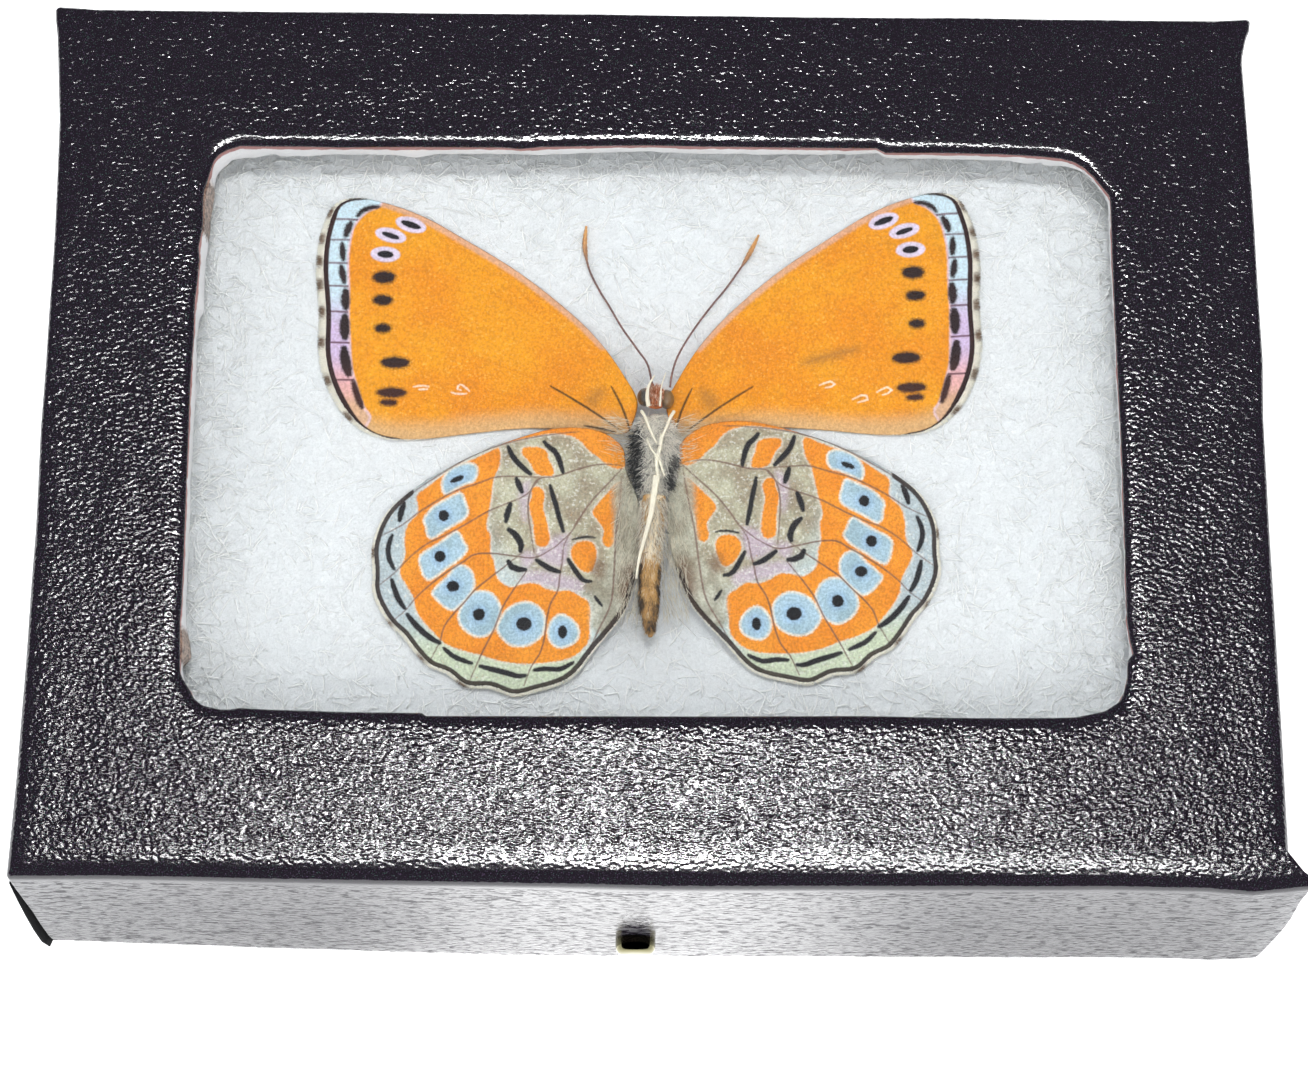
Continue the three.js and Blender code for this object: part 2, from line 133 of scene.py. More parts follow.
# The wings as drawn: out from the midline, along the body, and the fringe's length there.
FOREWING = [(1.75, 1.9, 0), (4.65, 1.7, 0), (8.65, 1.65, 0), (12.65, 1.2, 0), (16.65, 0.7, 0.1),
    (19.15, 0.85, 0.2), (20.65, 1.6, 0.35), (22, 3.1, 0.5), (22.95, 5, 0.55), (23.45, 7, 0.6),
    (23.55, 10.5, 0.6), (23.85, 14.2, 0.6), (23.6, 17, 0.5), (22.9, 18.9, 0.3), (21.6, 19.45, 0.1),
    (19.6, 19.12, 0.05), (16.65, 18.02, 0), (13.65, 16.25, 0), (9.65, 13.65, 0), (5.65, 10.3, 0),
    (3.65, 8.2, 0), (2.05, 6, 0), (1.05, 4.2, 0), (1.3, 2.8, 0)]
FOREWING_HEART = (14, 8.5)
FOREWING_RIM = 0.41
FOREWING_TUFTS = [(21.9, 19.5), (23.2, 18.2), (23.9, 16.2), (24, 14.4), (23.7, 12.6), (23.7, 10.5),
    (23.6, 8.1), (23.1, 5.2), (21.6, 2.5)]
HINDWING = [(1.85, -1.2, 0), (1.25, -2.6, 0), (0.85, -4, 0.1), (0.78, -7, 0.1), (1.35, -10, 0.1),
    (2.05, -12, 0.2), (4.05, -14.8, 0.3), (5.85, -17, 0.45), (8.25, -17.9, 0.5), (9.65, -18.2, 0.5),
    (11.25, -17.65, 0.5), (12.95, -17.55, 0.5), (14.25, -16.6, 0.5), (15.45, -16.1, 0.5),
    (16.35, -15.2, 0.5), (17.35, -13.9, 0.5), (18.35, -12.9, 0.5), (19.4, -10.9, 0.5), (19.5, -9.2, 0.45),
    (19.6, -7.4, 0.4), (18.9, -5.2, 0.3), (17.65, -3.7, 0.1), (13.65, -1, 0), (9.65, 0.75, 0),
    (6.65, 1.58, 0), (3.65, 1.4, 0), (2.1, 0.4, 0)]
HINDWING_HEART = (10, -8)
HINDWING_TUFTS = [(19.7, -7.9), (18.5, -13.2), (16.2, -15.7), (13.3, -17.5)]

# Marks on the wings, with the same axes. Lines that are drawn have their width first.
FOREWING_DASHES = [
    (0.42, [(19.95, 18.75), (20.65, 18.65), (21.25, 18.3), (21.45, 18)]),
    (0.56, [(21.9, 17.45), (22.1, 17), (22.25, 16.45)]),
    (0.5, [(22.5, 15.8), (22.45, 15.2), (22.37, 14.55)]),
    (0.53, [(22.5, 14), (22.4, 13.4), (22.25, 12.8)]),
    (0.7, [(22.15, 12.1), (22.15, 11.4), (22.1, 10.8)]),
    (0.77, [(22.15, 10.1), (22.15, 9.2), (22.1, 8.5)]),
    (0.77, [(22.15, 7.6), (22, 6.6), (21.75, 5.65)]),
    (0.53, [(21.4, 5), (21.15, 4.2), (20.75, 3.1)]),
]
FOREWING_BAND = [(19.75, 18.8), (20.65, 18.3), (21.25, 17.7), (21.65, 17), (21.85, 16), (21.95, 15),
    (21.95, 14), (21.85, 12.5), (21.8, 10), (21.65, 8), (21.45, 6), (21.15, 5), (20.85, 4), (20.45, 3),
    (20.05, 2.4), (20.85, 1.2), (24.45, 4), (24.85, 19), (21.65, 20.6), (19.65, 19.9)]
FOREWING_ROOT_VEINS = [
    [(7.3, 4.9), (6.15, 4.3), (4.65, 3.5), (3.45, 2.8), (2.45, 2.1)],
    [(2.95, 5.2), (2.55, 4.5), (2.1, 3.6), (1.75, 2.6), (1.55, 1.9)],
    [(4.85, 2.15), (3.65, 2.05), (2.65, 1.85)],
]
FOREWING_VEINS = [
    [(23.65, 17.75), (21.65, 17.7), (20.25, 17.4)],
    [(23.85, 16.1), (21.95, 16.1), (20.65, 16.05), (18.65, 15.75), (15.65, 15), (12.45, 13.6)],
    [(23.95, 14.3), (21.95, 14.25), (20.45, 14.2), (17.65, 14), (14.15, 13), (10.65, 11.4), (7.65, 9.6)],
    [(23.75, 12.5), (21.85, 12.45), (19.65, 12.3), (16.65, 11.8), (13.15, 10.9), (10.15, 9.4)],
    [(23.65, 10.5), (21.85, 10.45), (19.65, 10.2), (15.65, 9.6), (12.45, 8.7)],
    [(23.55, 8.1), (21.65, 8.05), (19.15, 7.9), (15.65, 7.5), (11.65, 6.6), (7.3, 4.9)],
    [(23.05, 5.2), (21.25, 5.2), (18.65, 5.3), (15.15, 5), (11.15, 4.3), (7.25, 3.3), (3.65, 2.3)],
    [(14.15, 15.6), (10.65, 13.6), (7.65, 11.2), (5.15, 8.6), (3.25, 6.2), (2.05, 4.2)],
    [(11.15, 13.6), (8.25, 10.7), (5.75, 7.8), (3.85, 5.6), (2.25, 3.4)],
]
FOREWING_INNER_MARGIN = [(20.15, 1.3), (18.65, 0.9), (14.65, 0.9), (11.65, 1.3), (7.65, 1.7), (2.65, 1.9)]
HINDWING_RING = [(10.95, 0), (10.85, -1.3), (11.25, -2.3), (11.4, -3.6), (11.55, -4.7), (11.7, -6),
    (11.45, -6.5), (11.4, -7.9), (11.15, -8.5), (11.05, -9.2), (10.85, -9.8), (9.95, -10.4), (9.25, -10.2),
    (8.25, -10.1), (7.45, -10.5), (6.65, -10.7), (5.85, -10.6), (5.15, -11), (4.5, -11.4), (4.35, -12),
    (4.4, -13.2), (4.45, -14.2), (4.95, -15), (5.85, -15.6), (7.05, -15.85), (9.15, -16), (10.65, -15.8),
    (11.95, -15.4), (13.25, -15.05), (14.55, -14.5), (15.25, -13.8), (16.05, -12.9), (16.55, -12.1),
    (16.75, -11.2), (17.25, -10.3), (17.75, -9.3), (17.4, -8.2), (17.45, -7), (17.35, -6), (17.05, -5.5),
    (16.55, -4.9), (16.65, -3.6), (15.85, -2.9), (15.05, -2.2), (13.85, -1.3), (12.85, -0.9), (11.85, -0.4)]
HINDWING_ORANGE = [
    [(9.25, 0), (8.65, 0.1), (7.95, 0.05), (7.55, -0.2), (7.35, -0.9), (7.05, -1.5), (7, -2), (7.65, -2.1),
     (8.25, -1.9), (8.55, -1.4), (8.85, -0.9), (9.25, -0.5)],
    [(8.55, -3), (8.05, -2.9), (7.65, -3.4), (7.75, -4.4), (7.55, -5.2), (7.35, -6.1), (7.25, -6.9),
     (7.55, -7.4), (8.15, -7.3), (8.35, -6.5), (8.45, -5.6), (8.65, -4.8), (8.75, -4.2), (8.55, -3.6)],
    [(2.25, -2.2), (2.65, -2.5), (3.25, -3.3), (3.95, -4.2), (4.25, -4.8), (3.85, -5.4), (3.45, -6),
     (3.55, -6.8), (3.25, -7.3), (2.75, -7), (2.7, -5.5), (2.35, -4), (2.15, -3)],
    [(5.65, -7.4), (5.25, -7), (4.25, -7), (3.95, -7.6), (4.05, -8.6), (4.35, -9.2), (4.85, -9.2),
     (5.45, -8.6), (5.75, -8)],
    [(12.45, -0.05), (10.15, 0.75), (8.65, 1.2), (7.65, 1.45), (6.65, 1.65), (5.15, 1.65), (3.65, 1.45),
     (2.65, 1), (2.05, 0.3), (1.95, -1), (2.45, -1.3), (3.25, -1.1), (3.85, -0.6), (4.55, -0.1),
     (5.05, 0.5), (5.65, 0.9), (6.65, 1.1), (7.45, 1.1), (8.65, 0.85), (10.15, 0.5), (11.65, 0.1)],
]
HINDWING_OCELLI = [
    [(14.95, -2.5), (14.55, -1.7), (13.85, -1.25), (13.05, -1.05), (12.45, -1.3), (12.35, -2),
     (12.65, -2.6), (13.25, -2.8), (13.95, -3.2), (14.65, -3.6), (14.95, -3.2)],
    [(15.55, -4.4), (14.95, -4), (14.25, -3.6), (13.55, -3.3), (13.15, -4.1), (12.95, -4.8), (13.15, -5.3),
     (13.85, -5.8), (14.65, -6.3), (15.55, -6.9), (15.95, -6.6), (16.05, -6), (16.25, -5.4), (15.95, -4.9)],
    [(13.85, -6.2), (13.55, -6.4), (13.25, -7), (12.95, -7.5), (13.15, -8), (13.65, -8.5), (14.45, -9.1),
     (15.15, -9.7), (15.75, -10), (16.15, -9.6), (16.35, -9), (16.5, -8.3), (16.15, -7.8), (15.35, -7.3),
     (14.55, -6.7)],
    [(13.55, -8.7), (12.95, -8.9), (12.55, -9.4), (12.45, -10.3), (12.75, -11), (13.45, -11.8),
     (13.95, -12.2), (14.65, -11.9), (15.25, -11.3), (15.55, -10.9), (15.15, -10.3), (14.45, -9.6),
     (13.95, -8.9)],
    [(12.55, -10.7), (11.85, -10.6), (11.25, -10.8), (10.75, -11.4), (10.55, -12.1), (10.75, -12.9),
     (11.05, -13.6), (11.75, -14.1), (12.35, -14.1), (13.05, -13.7), (13.55, -13.1), (13.65, -12.4),
     (13.35, -11.6)],
    [(9.65, -11.6), (8.85, -11.4), (8.05, -11.7), (7.55, -12.3), (7.45, -13.1), (7.65, -13.9),
     (8.25, -14.5), (9.05, -14.8), (9.95, -14.7), (10.55, -14.2), (10.95, -13.5), (10.65, -12.6),
     (10.25, -12)],
    [(6.55, -12.3), (5.85, -12.5), (5.25, -13.1), (5.05, -13.7), (5.25, -14.3), (5.75, -14.7),
     (6.55, -14.9), (7.15, -14.5), (7.4, -13.8), (7.25, -13)],
]
HINDWING_VEINS = [
    [(7.05, -2.2), (9.15, -2.15), (11.05, -2.2), (12.55, -2.75), (14.05, -3.3), (15.25, -4), (16.55, -4.9),
     (17.65, -5.8), (19.55, -6.9)],
    [(8.15, -2.5), (8.95, -3.5), (10.25, -4.15), (11.65, -4.8), (13.25, -5.8), (14.65, -6.6),
     (15.85, -7.2), (16.95, -8.1), (18.25, -9.5), (19.55, -10.6)],
    [(6.85, -7.4), (8.25, -8.2), (9.65, -8.1), (11.25, -7.9), (12.55, -8), (13.25, -8.5), (14.55, -9.4),
     (15.65, -10.3), (16.65, -11.3), (17.25, -12.1), (18.25, -13)],
    [(9.15, -7.8), (10.55, -9), (11.65, -9.9), (12.45, -10.6), (13.25, -11.6), (13.95, -12.4),
     (14.55, -13.3), (14.85, -14.4), (15.55, -15.9)],
    [(8.85, -9.2), (9.95, -10.9), (10.55, -12), (11, -13.3), (11.45, -14.3), (12.05, -15.6),
     (12.45, -16.6), (12.75, -17.3)],
    [(5.75, -6.3), (6.25, -7.3), (6.35, -8.4), (6.5, -9.4), (6.65, -10.6), (7.15, -11.6), (7.4, -12.7),
     (7.55, -14), (7.85, -15.2), (8.45, -16.2), (8.95, -17.6)],
    [(2.15, -1.2), (3.05, -2.4), (4.35, -4), (5.25, -5.4), (5.75, -6.3), (6.85, -7.4)],
    [(2.15, -1), (3.85, -1.15), (5.25, -1.55), (6.85, -2.1), (8.05, -2.3), (8.65, -3.3), (8.8, -4.6),
     (8.6, -6.2), (8.35, -7.8)],
    [(5.25, 1.3), (6.85, 1.1), (8.65, 0.8), (10.45, 0.35), (12.15, -0.25), (13.25, -0.85), (14.45, -1.6),
     (15.75, -2.5), (16.95, -3.4), (17.95, -4.4)],
    [(2.15, -1.6), (2.35, -4), (2.6, -6.5), (2.7, -9), (2.95, -11.5), (3.75, -13.4), (4.45, -15)],
]
HINDWING_LINES = [
    (0.42, [(10.25, 0.1), (10, -0.5), (9.65, -1), (9.15, -1.5), (8.65, -1.95)]),
    (0.42, [(7.7, 0.5), (7.35, 0.1), (6.95, -0.2), (6.65, -0.8), (6.45, -1.4), (6.35, -1.8)]),
    (0.45, [(9.65, -2.3), (9.45, -2.8), (9.25, -3.3)]),
    (0.38, [(7.25, -2.8), (7.1, -3.4), (6.85, -4.2), (6.65, -5), (6.45, -5.7), (6.3, -6.25)]),
    (0.45, [(10.05, -4.2), (10.25, -4.9), (10.35, -5.5)]),
    (0.48, [(10.15, -6.1), (9.75, -6.4), (9.4, -6.9), (9.25, -7.3), (9.3, -7.7)]),
    (0.48, [(10.15, -8.5), (9.95, -8.85), (9.55, -9.05), (8.95, -9.1)]),
    (0.42, [(8.15, -8.4), (7.65, -8.75), (7.15, -9.05), (6.55, -9.25)]),
    (0.38, [(5.95, -8.3), (5.65, -8.8), (5.25, -9.4), (4.85, -9.85), (4.35, -9.9)]),
    (0.18, [(5.65, -6.85), (5.15, -6.7), (4.55, -6.6), (4.05, -6.65)]),
    (0.27, [(4.05, -11), (3.85, -11.3), (3.55, -11.65)]),
    (0.45, [(17.55, -4.2), (17.75, -4.8), (17.85, -5.5)]),
    (0.38, [(18.35, -6.6), (18.6, -7.4), (18.55, -8.2), (18.15, -9.1)]),
    (0.42, [(18.3, -9.9), (18.05, -10.7), (17.75, -11.4), (17.35, -12)]),
    (0.45, [(17.15, -12.45), (16.65, -13.1), (15.95, -13.8), (15.25, -14.3), (14.85, -14.5)]),
    (0.38, [(14.55, -14.9), (13.85, -15.5), (13.15, -15.8), (12.6, -16)]),
    (0.42, [(12, -16.2), (11.05, -16.45), (10.05, -16.7), (9.35, -16.9), (8.85, -16.85)]),
    (0.38, [(8.25, -16.45), (7.45, -16.35), (6.55, -16.4), (6.05, -16.2), (5.55, -15.9)]),
]

ANTENNAE = {
    "antenna_left": [
        (-0.35, 5.15, 14.3), (-0.7, 6.6, 14.55), (-1.5, 7.8, 14.68), (-2.5, 9.3, 14.7),
        (-3.45, 11, 14.72), (-4.25, 12.4, 14.72), (-4.95, 14, 14.74), (-5.25, 15.8, 14.74),
        (-5.15, 17.3, 14.74)],
    "antenna_right": [
        (0.92, 4.85, 14.5), (1.05, 5.8, 14.6), (1.4, 7, 14.68), (2, 8.2, 14.7),
        (3, 9.8, 14.72), (4, 11.2, 14.72), (5, 12.5, 14.72), (6, 14, 14.74),
        (6.7, 15.2, 14.74), (7.4, 16.7, 14.74)],
}
# Palps and legs: the path, and the radius at its start and at its end.
LEGS = {
    "palp_left": ([(-0.62, 3.45, 14.45), (-0.72, 4, 14.86), (-0.62, 4.8, 14.84),
                   (-0.2, 5.7, 14.7)], 0.17, 0.05),
    "palp_right": ([(0.2, 3.4, 14.5), (0.24, 4.1, 14.9), (0.3, 4.8, 14.84),
                    (0.6, 5.9, 14.7)], 0.08, 0.03),
    "leg_mid_left": ([(-1.1, 3.1, 14.25), (-0.85, 2.5, 14.66), (-0.5, 1.5, 14.76),
                      (-0.05, 0.5, 14.76)], 0.13, 0.09),
    "leg_mid_right": ([(1.2, 3.1, 14.25), (0.95, 2.5, 14.66), (0.6, 1.6, 14.76),
                       (0.2, 0.6, 14.76)], 0.13, 0.09),
    "leg_hind": ([(-0.05, -2, 14.7), (-0.25, -3.4, 14.76), (-0.45, -4.8, 14.78),
                  (-0.95, -6.8, 14.74), (-1.3, -8.2, 14.6), (-1.5, -9.6, 14.5)], 0.26, 0.07),
    "leg_front": ([(0.3, 1.2, 14.62), (0.2, 0.2, 14.78), (-0.05, -0.9, 14.76), (0.05, -2.3, 14.66)],
                  0.15, 0.12),
    "leg_side": ([(-0.75, 0.9, 14.5), (-0.45, 0.1, 14.74), (0.1, -0.8, 14.84), (0.5, -1.9, 14.6)],
                 0.1, 0.08),
}


# Camera, in metres, as the box's corners give it.
CAMERA_PLACE = (-0.0047375, -0.0866723, 0.2471811)
CAMERA_RIGHT = (0.99981897, -0.0010675, 0.01899702)
CAMERA_UP = (-0.00516041, 0.94578912, 0.32474037)
CAMERA_BACK = (-0.01831383, -0.32477962, 0.9456124)
# Where every light points.
AIM = (0, 0, 0.015)


# Settings


class LidSettings(bpy.types.PropertyGroup):
    """The black paper and the board under it."""
    paper_color: bpy.props.FloatVectorProperty(
        name="Paper", description="Colour of the black paper", subtype="COLOR",
        default=(0.0165, 0.0125, 0.0185), min=0, max=1)
    board_color: bpy.props.FloatVectorProperty(
        name="Board", description="Colour of the board where it is cut", subtype="COLOR",
        default=(0.95, 0.935, 0.935), min=0, max=1)
    grain: bpy.props.FloatProperty(
        name="Grain", description="Width of the paper's embossed wrinkles", subtype="DISTANCE",
        default=0.00025, min=0.00005, max=0.005)
    grain_depth: bpy.props.FloatProperty(
        name="Grain depth", description="Depth of the paper's embossed wrinkles",
        subtype="DISTANCE", default=0.000044, min=0, max=0.001)


class FillSettings(bpy.types.PropertyGroup):
    """The batting that the butterfly lies on."""
    color: bpy.props.FloatVectorProperty(
        name="Batting", description="Colour of the batting", subtype="COLOR",
        default=(0.92, 0.93, 0.95), min=0, max=1)
    fibres: bpy.props.IntProperty(
        name="Fibres", description="Number of loose fibres on the batting",
        default=7200, min=0, max=7500)
    fibre_radius: bpy.props.FloatProperty(
        name="Fibre radius", description="Radius of a loose fibre", subtype="DISTANCE",
        default=0.000046, min=0.000005, max=0.0001)


class WingSettings(bpy.types.PropertyGroup):
    """The colours of the wings."""
    orange: bpy.props.FloatVectorProperty(
        name="Orange", description="Ground of the forewings", subtype="COLOR",
        default=(0.74, 0.272, 0.004), min=0, max=1)
    ring_orange: bpy.props.FloatVectorProperty(
        name="Ring orange", description="Orange bands of the hindwings", subtype="COLOR",
        default=(0.75, 0.235, 0.014), min=0, max=1)
    blue: bpy.props.FloatVectorProperty(
        name="Pale blue", description="Eyespots and borders", subtype="COLOR",
        default=(0.3, 0.43, 0.5), min=0, max=1)
    grey: bpy.props.FloatVectorProperty(
        name="Grey", description="Ground of the hindwings", subtype="COLOR",
        default=(0.35, 0.285, 0.2), min=0, max=1)
    black: bpy.props.FloatVectorProperty(
        name="Black", description="Spots and lines", subtype="COLOR",
        default=(0.016, 0.005, 0.006), min=0, max=1)
    columns: bpy.props.IntProperty(
        name="Columns", description="Mesh steps round a wing", default=640, min=120, max=700)
    rings: bpy.props.IntProperty(
        name="Rings", description="Mesh steps from a wing's middle to its edge",
        default=96, min=20, max=100)


class StageSettings(bpy.types.PropertyGroup):
    """The floor, the lights and the camera."""
    floor_color: bpy.props.FloatVectorProperty(
        name="Floor", description="Colour of the floor", subtype="COLOR",
        default=(0.9, 0.9, 0.9), min=0, max=1)
    floor_glow: bpy.props.FloatProperty(
        name="Floor glow", description="How far the floor is lifted to white",
        default=2.4, min=0, max=4)
    lamp_power: bpy.props.FloatProperty(
        name="Lamp", description="Power of the small lamp overhead", subtype="POWER",
        default=0.32, min=0, max=20)
    fill_power: bpy.props.FloatProperty(
        name="Fill", description="Power of each large soft light", subtype="POWER",
        default=0.75, min=0, max=100)
    focal_length: bpy.props.FloatProperty(
        name="Focal length", description="Camera lens, in mm", default=95.67, min=20, max=300)


# Making meshes


def finish(name, mesh, material, node=None):
    """Links a mesh that is in mm as a piece in metres, riding on the body."""
    mesh.transform(Matrix.Scale(MM, 4))
    mesh.polygons.foreach_set("use_smooth", [True] * len(mesh.polygons))
    mesh.name = name
    mesh.materials.append(material)
    piece = bpy.data.objects.new(name, mesh)
    bpy.context.scene.collection.objects.link(piece)
    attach(piece, "root")
    if node:
        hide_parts(node)
    return piece


def sheet_of(places):
    """A grid mesh whose rows lie on the given rings of points."""
    places = np.asarray(places, float)
    places = np.concatenate([places, places[:, :1]], axis=1)
    rows, columns = places.shape[:2]
    bm = bmesh.new()
    bmesh.ops.create_grid(bm, x_segments=columns - 1, y_segments=rows - 1, size=1)
    for vert, place in zip(bm.verts, places.reshape(-1, 3)):
        vert.co = place
    bmesh.ops.remove_doubles(bm, verts=bm.verts, dist=1e-5)
    bmesh.ops.recalc_face_normals(bm, faces=bm.faces)
    return bm


def to_mesh(bm):
    """Turns a bmesh into a mesh, and frees it."""
    mesh = bpy.data.meshes.new("mesh")
    bm.to_mesh(mesh)
    bm.free()
    return mesh


def points_of(mesh):
    places = np.empty(len(mesh.vertices) * 3)
    mesh.vertices.foreach_get("co", places)
    return places.reshape(-1, 3)


def place_points(mesh, places):
    mesh.vertices.foreach_set("co", np.asarray(places, float).ravel())
    mesh.update()


def store(mesh, name, values):
    """Keeps one number for each point, which a material reads by its name."""
    layer = mesh.attributes.new(name, "FLOAT", "POINT")
    layer.data.foreach_set("value", np.asarray(values, np.float32))


def smooth_curve(points, count, closed=False):
    """Points at even distances along a centripetal Catmull-Rom curve."""
    points = np.asarray(points, float)
    n = len(points)
    if closed:
        ring = [points[i % n] for i in range(-1, n + 2)]
    else:
        ring = [2 * points[0] - points[1], *points, 2 * points[-1] - points[-2]]
    fine = []
    for a, b, c, d in zip(ring, ring[1:], ring[2:], ring[3:]):
        steps = [max(np.linalg.norm(q - p) ** 0.5, 1e-4) for p, q in ((a, b), (b, c), (c, d))]
        t0, t1, t2, t3 = 0, steps[0], sum(steps[:2]), sum(steps)
        t = np.linspace(t1, t2, 24, endpoint=False)[:, None]
        ab = (t1 - t) / (t1 - t0) * a + (t - t0) / (t1 - t0) * b
        bc = (t2 - t) / (t2 - t1) * b + (t - t1) / (t2 - t1) * c
        cd = (t3 - t) / (t3 - t2) * c + (t - t2) / (t3 - t2) * d
        abc = (t2 - t) / (t2 - t0) * ab + (t - t0) / (t2 - t0) * bc
        bcd = (t3 - t) / (t3 - t1) * bc + (t - t1) / (t3 - t1) * cd
        fine.append((t2 - t) / (t2 - t1) * abc + (t - t1) / (t2 - t1) * bcd)
    fine = np.concatenate(fine + [points[:1] if closed else points[-1:]])
    reach = np.concatenate([[0], np.cumsum(np.linalg.norm(np.diff(fine, axis=0), axis=1))])
    places = np.linspace(0, reach[-1], count, endpoint=not closed)
    return np.stack([np.interp(places, reach, fine[:, k]) for k in range(fine.shape[1])], 1)


def round_outline(size, radius, centre=(0, 0)):
    """Points round a rounded rectangle, as many on each side at any size, from the right."""
    half = np.array(size) / 2 - radius
    corners = np.array([(1, 1), (-1, 1), (-1, -1), (1, -1)])
    ring = []
    for index, corner in enumerate(corners * half):
        for k in range(CORNER_STEPS):
            angle = (index + (k + 0.5) / CORNER_STEPS) * math.pi / 2
            ring.append(corner + (radius * math.cos(angle), radius * math.sin(angle)))
        steps = SHORT_STEPS if index % 2 else LONG_STEPS
        turn = (index + 1) * math.pi / 2
        edge = radius * np.array((math.cos(turn), math.sin(turn)))
        run = corners[(index + 1) % 4] * half - corner
        ring += [corner + run * (k / (steps - 1)) + edge for k in range(steps)]
    return np.array(ring) + centre


def at_height(ring, z):
    return np.column_stack([ring, np.full(len(ring), z)])


def outward(ring):
    """Unit vectors that point out of a counter-clockwise ring."""
    ahead = np.roll(ring, -1, 0) - np.roll(ring, 1, 0)
    ahead /= np.maximum(np.linalg.norm(ahead, axis=1), 1e-9)[:, None]
    return np.column_stack([ahead[:, 1], -ahead[:, 0]])


def ripple(seed, count, waves, size):
    """A closed, uneven line of offsets, made of a few waves."""
    rng = np.random.default_rng(seed)
    turn = np.linspace(0, 2 * math.pi, count, endpoint=False)
    line = sum(np.sin(turn * wave + rng.uniform(0, 6.3)) / wave ** 0.5 for wave in waves)
    return size * line / max(np.abs(line).max(), 1e-9)


def strands(paths, radii, flat=1.0):
    """One mesh of three-sided hairs, each along its own path and closed at both ends."""
    paths, radii = np.asarray(paths, float), np.asarray(radii, float)
    count, steps = paths.shape[:2]
    ahead = np.gradient(paths, axis=1)
    ahead /= np.maximum(np.linalg.norm(ahead, axis=2), 1e-9)[..., None]
    side = np.cross(ahead, (0.05, 0.03, 1.0))
    side /= np.maximum(np.linalg.norm(side, axis=2), 1e-9)[..., None]
    over = np.cross(side, ahead)
    rings = []
    for k in range(3):
        angle = 2 * math.pi * k / 3 + 0.5
        rings.append(paths + radii[..., None] * (
            side * math.cos(angle) + over * math.sin(angle) * flat))
    places = np.stack(rings, 2).reshape(-1, 3)
    one = []
    for s in range(steps - 1):
        for k in range(3):
            a, b = s * 3 + k, s * 3 + (k + 1) % 3
            one += [(a, a + 3, b + 3), (a, b + 3, b)]
    last = 3 * (steps - 1)
    one += [(0, 1, 2), (last, last + 2, last + 1)]
    faces = np.array(one)[None] + (np.arange(count) * steps * 3)[:, None, None]
    mesh = bpy.data.meshes.new("strands")
    mesh.from_pydata(places.tolist(), [], faces.reshape(-1, 3).tolist())
    return mesh


def join(meshes):
    """Makes several meshes one."""
    bm = bmesh.new()
    for mesh in meshes:
        bm.from_mesh(mesh)
        bpy.data.meshes.remove(mesh)
    return to_mesh(bm)


def tube(path, radius, flat=1.0, sides=14, count=60, lumps=0.0, seed=1):
    """A closed rod along a path. radius(t) is its radius at t from 0 to 1."""
    path = smooth_curve(path, count)
    rng = np.random.default_rng(seed)
    ahead = np.gradient(path, axis=0)
    ahead /= np.linalg.norm(ahead, axis=1)[:, None]
    across = np.cross((0, 0, 1), ahead)
    across /= np.linalg.norm(across, axis=1)[:, None]
    over = np.cross(ahead, across)
    rows = [np.repeat(path[:1], sides, 0)]
    for i in range(count):
        size = radius(i / (count - 1))
        angles = np.arange(sides) / sides * 2 * math.pi
        wide = size * (1 + lumps * rng.normal(size=sides))
        rows.append(path[i] + across[i] * (wide * np.cos(angles))[:, None]
                    + over[i] * (wide * flat * np.sin(angles))[:, None])
    rows.append(np.repeat(path[-1:], sides, 0))
    return sheet_of(rows)


# Materials


def add(tree, kind, inputs=None, **settings):
    """Adds a node with its settings, and sets or links its inputs."""
    made = tree.nodes.new(kind)
    for name, value in settings.items():
        setattr(made, name, value)
    for key, value in (inputs or {}).items():
        if isinstance(value, bpy.types.NodeSocket):
            tree.links.new(value, made.inputs[key])
        else:
            made.inputs[key].default_value = value
    return made


def paint(value):
    """A colour with the fourth number that a socket wants."""
    return (*value, 1.0) if len(value) == 3 else tuple(value)


def srgb(code):
    """A colour given as six hex digits, in linear light."""
    parts = [int(code[i:i + 2], 16) / 255 for i in (0, 2, 4)]
    return tuple(p / 12.92 if p <= 0.04045 else ((p + 0.055) / 1.055) ** 2.4 for p in parts)


def toned(color, shares):
    """A colour with each channel times its own share."""
    return tuple(c * share for c, share in zip(color, shares))


def mix(tree, share, first, second, blend="MIX"):
    """Two colours mixed. Each is a socket, or six hex digits, or linear values."""
    def ready(value):
        if isinstance(value, bpy.types.NodeSocket):
            return value
        return paint(srgb(value) if isinstance(value, str) else value)
    node = add(tree, "ShaderNodeMix", {0: share, 6: ready(first), 7: ready(second)},
               data_type="RGBA", blend_type=blend)
    return node.outputs[2]


def calc(tree, operation, first, second):
    return add(tree, "ShaderNodeMath", {0: first, 1: second}, operation=operation).outputs[0]


def times(tree, first, second):
    return calc(tree, "MULTIPLY", first, second)


def plus(tree, first, second):
    return calc(tree, "ADD", first, second)


def minus(tree, first, second):
    return calc(tree, "SUBTRACT", first, second)


def fade(tree, value, low, high, start=0.0, end=1.0):
    return add(tree, "ShaderNodeMapRange", {
        "Value": value, "From Min": low, "From Max": high, "To Min": start, "To Max": end,
    }, interpolation_type="SMOOTHSTEP").outputs["Result"]


def noise(tree, place, scale, detail=2.0, roughness=0.5, distortion=0.0):
    return add(tree, "ShaderNodeTexNoise", {
        "Vector": place, "Scale": scale, "Detail": detail, "Roughness": roughness,
        "Distortion": distortion}).outputs["Fac"]


def cells(tree, place, scale, output="Distance"):
    return add(tree, "ShaderNodeTexVoronoi", {"Vector": place, "Scale": scale}).outputs[output]


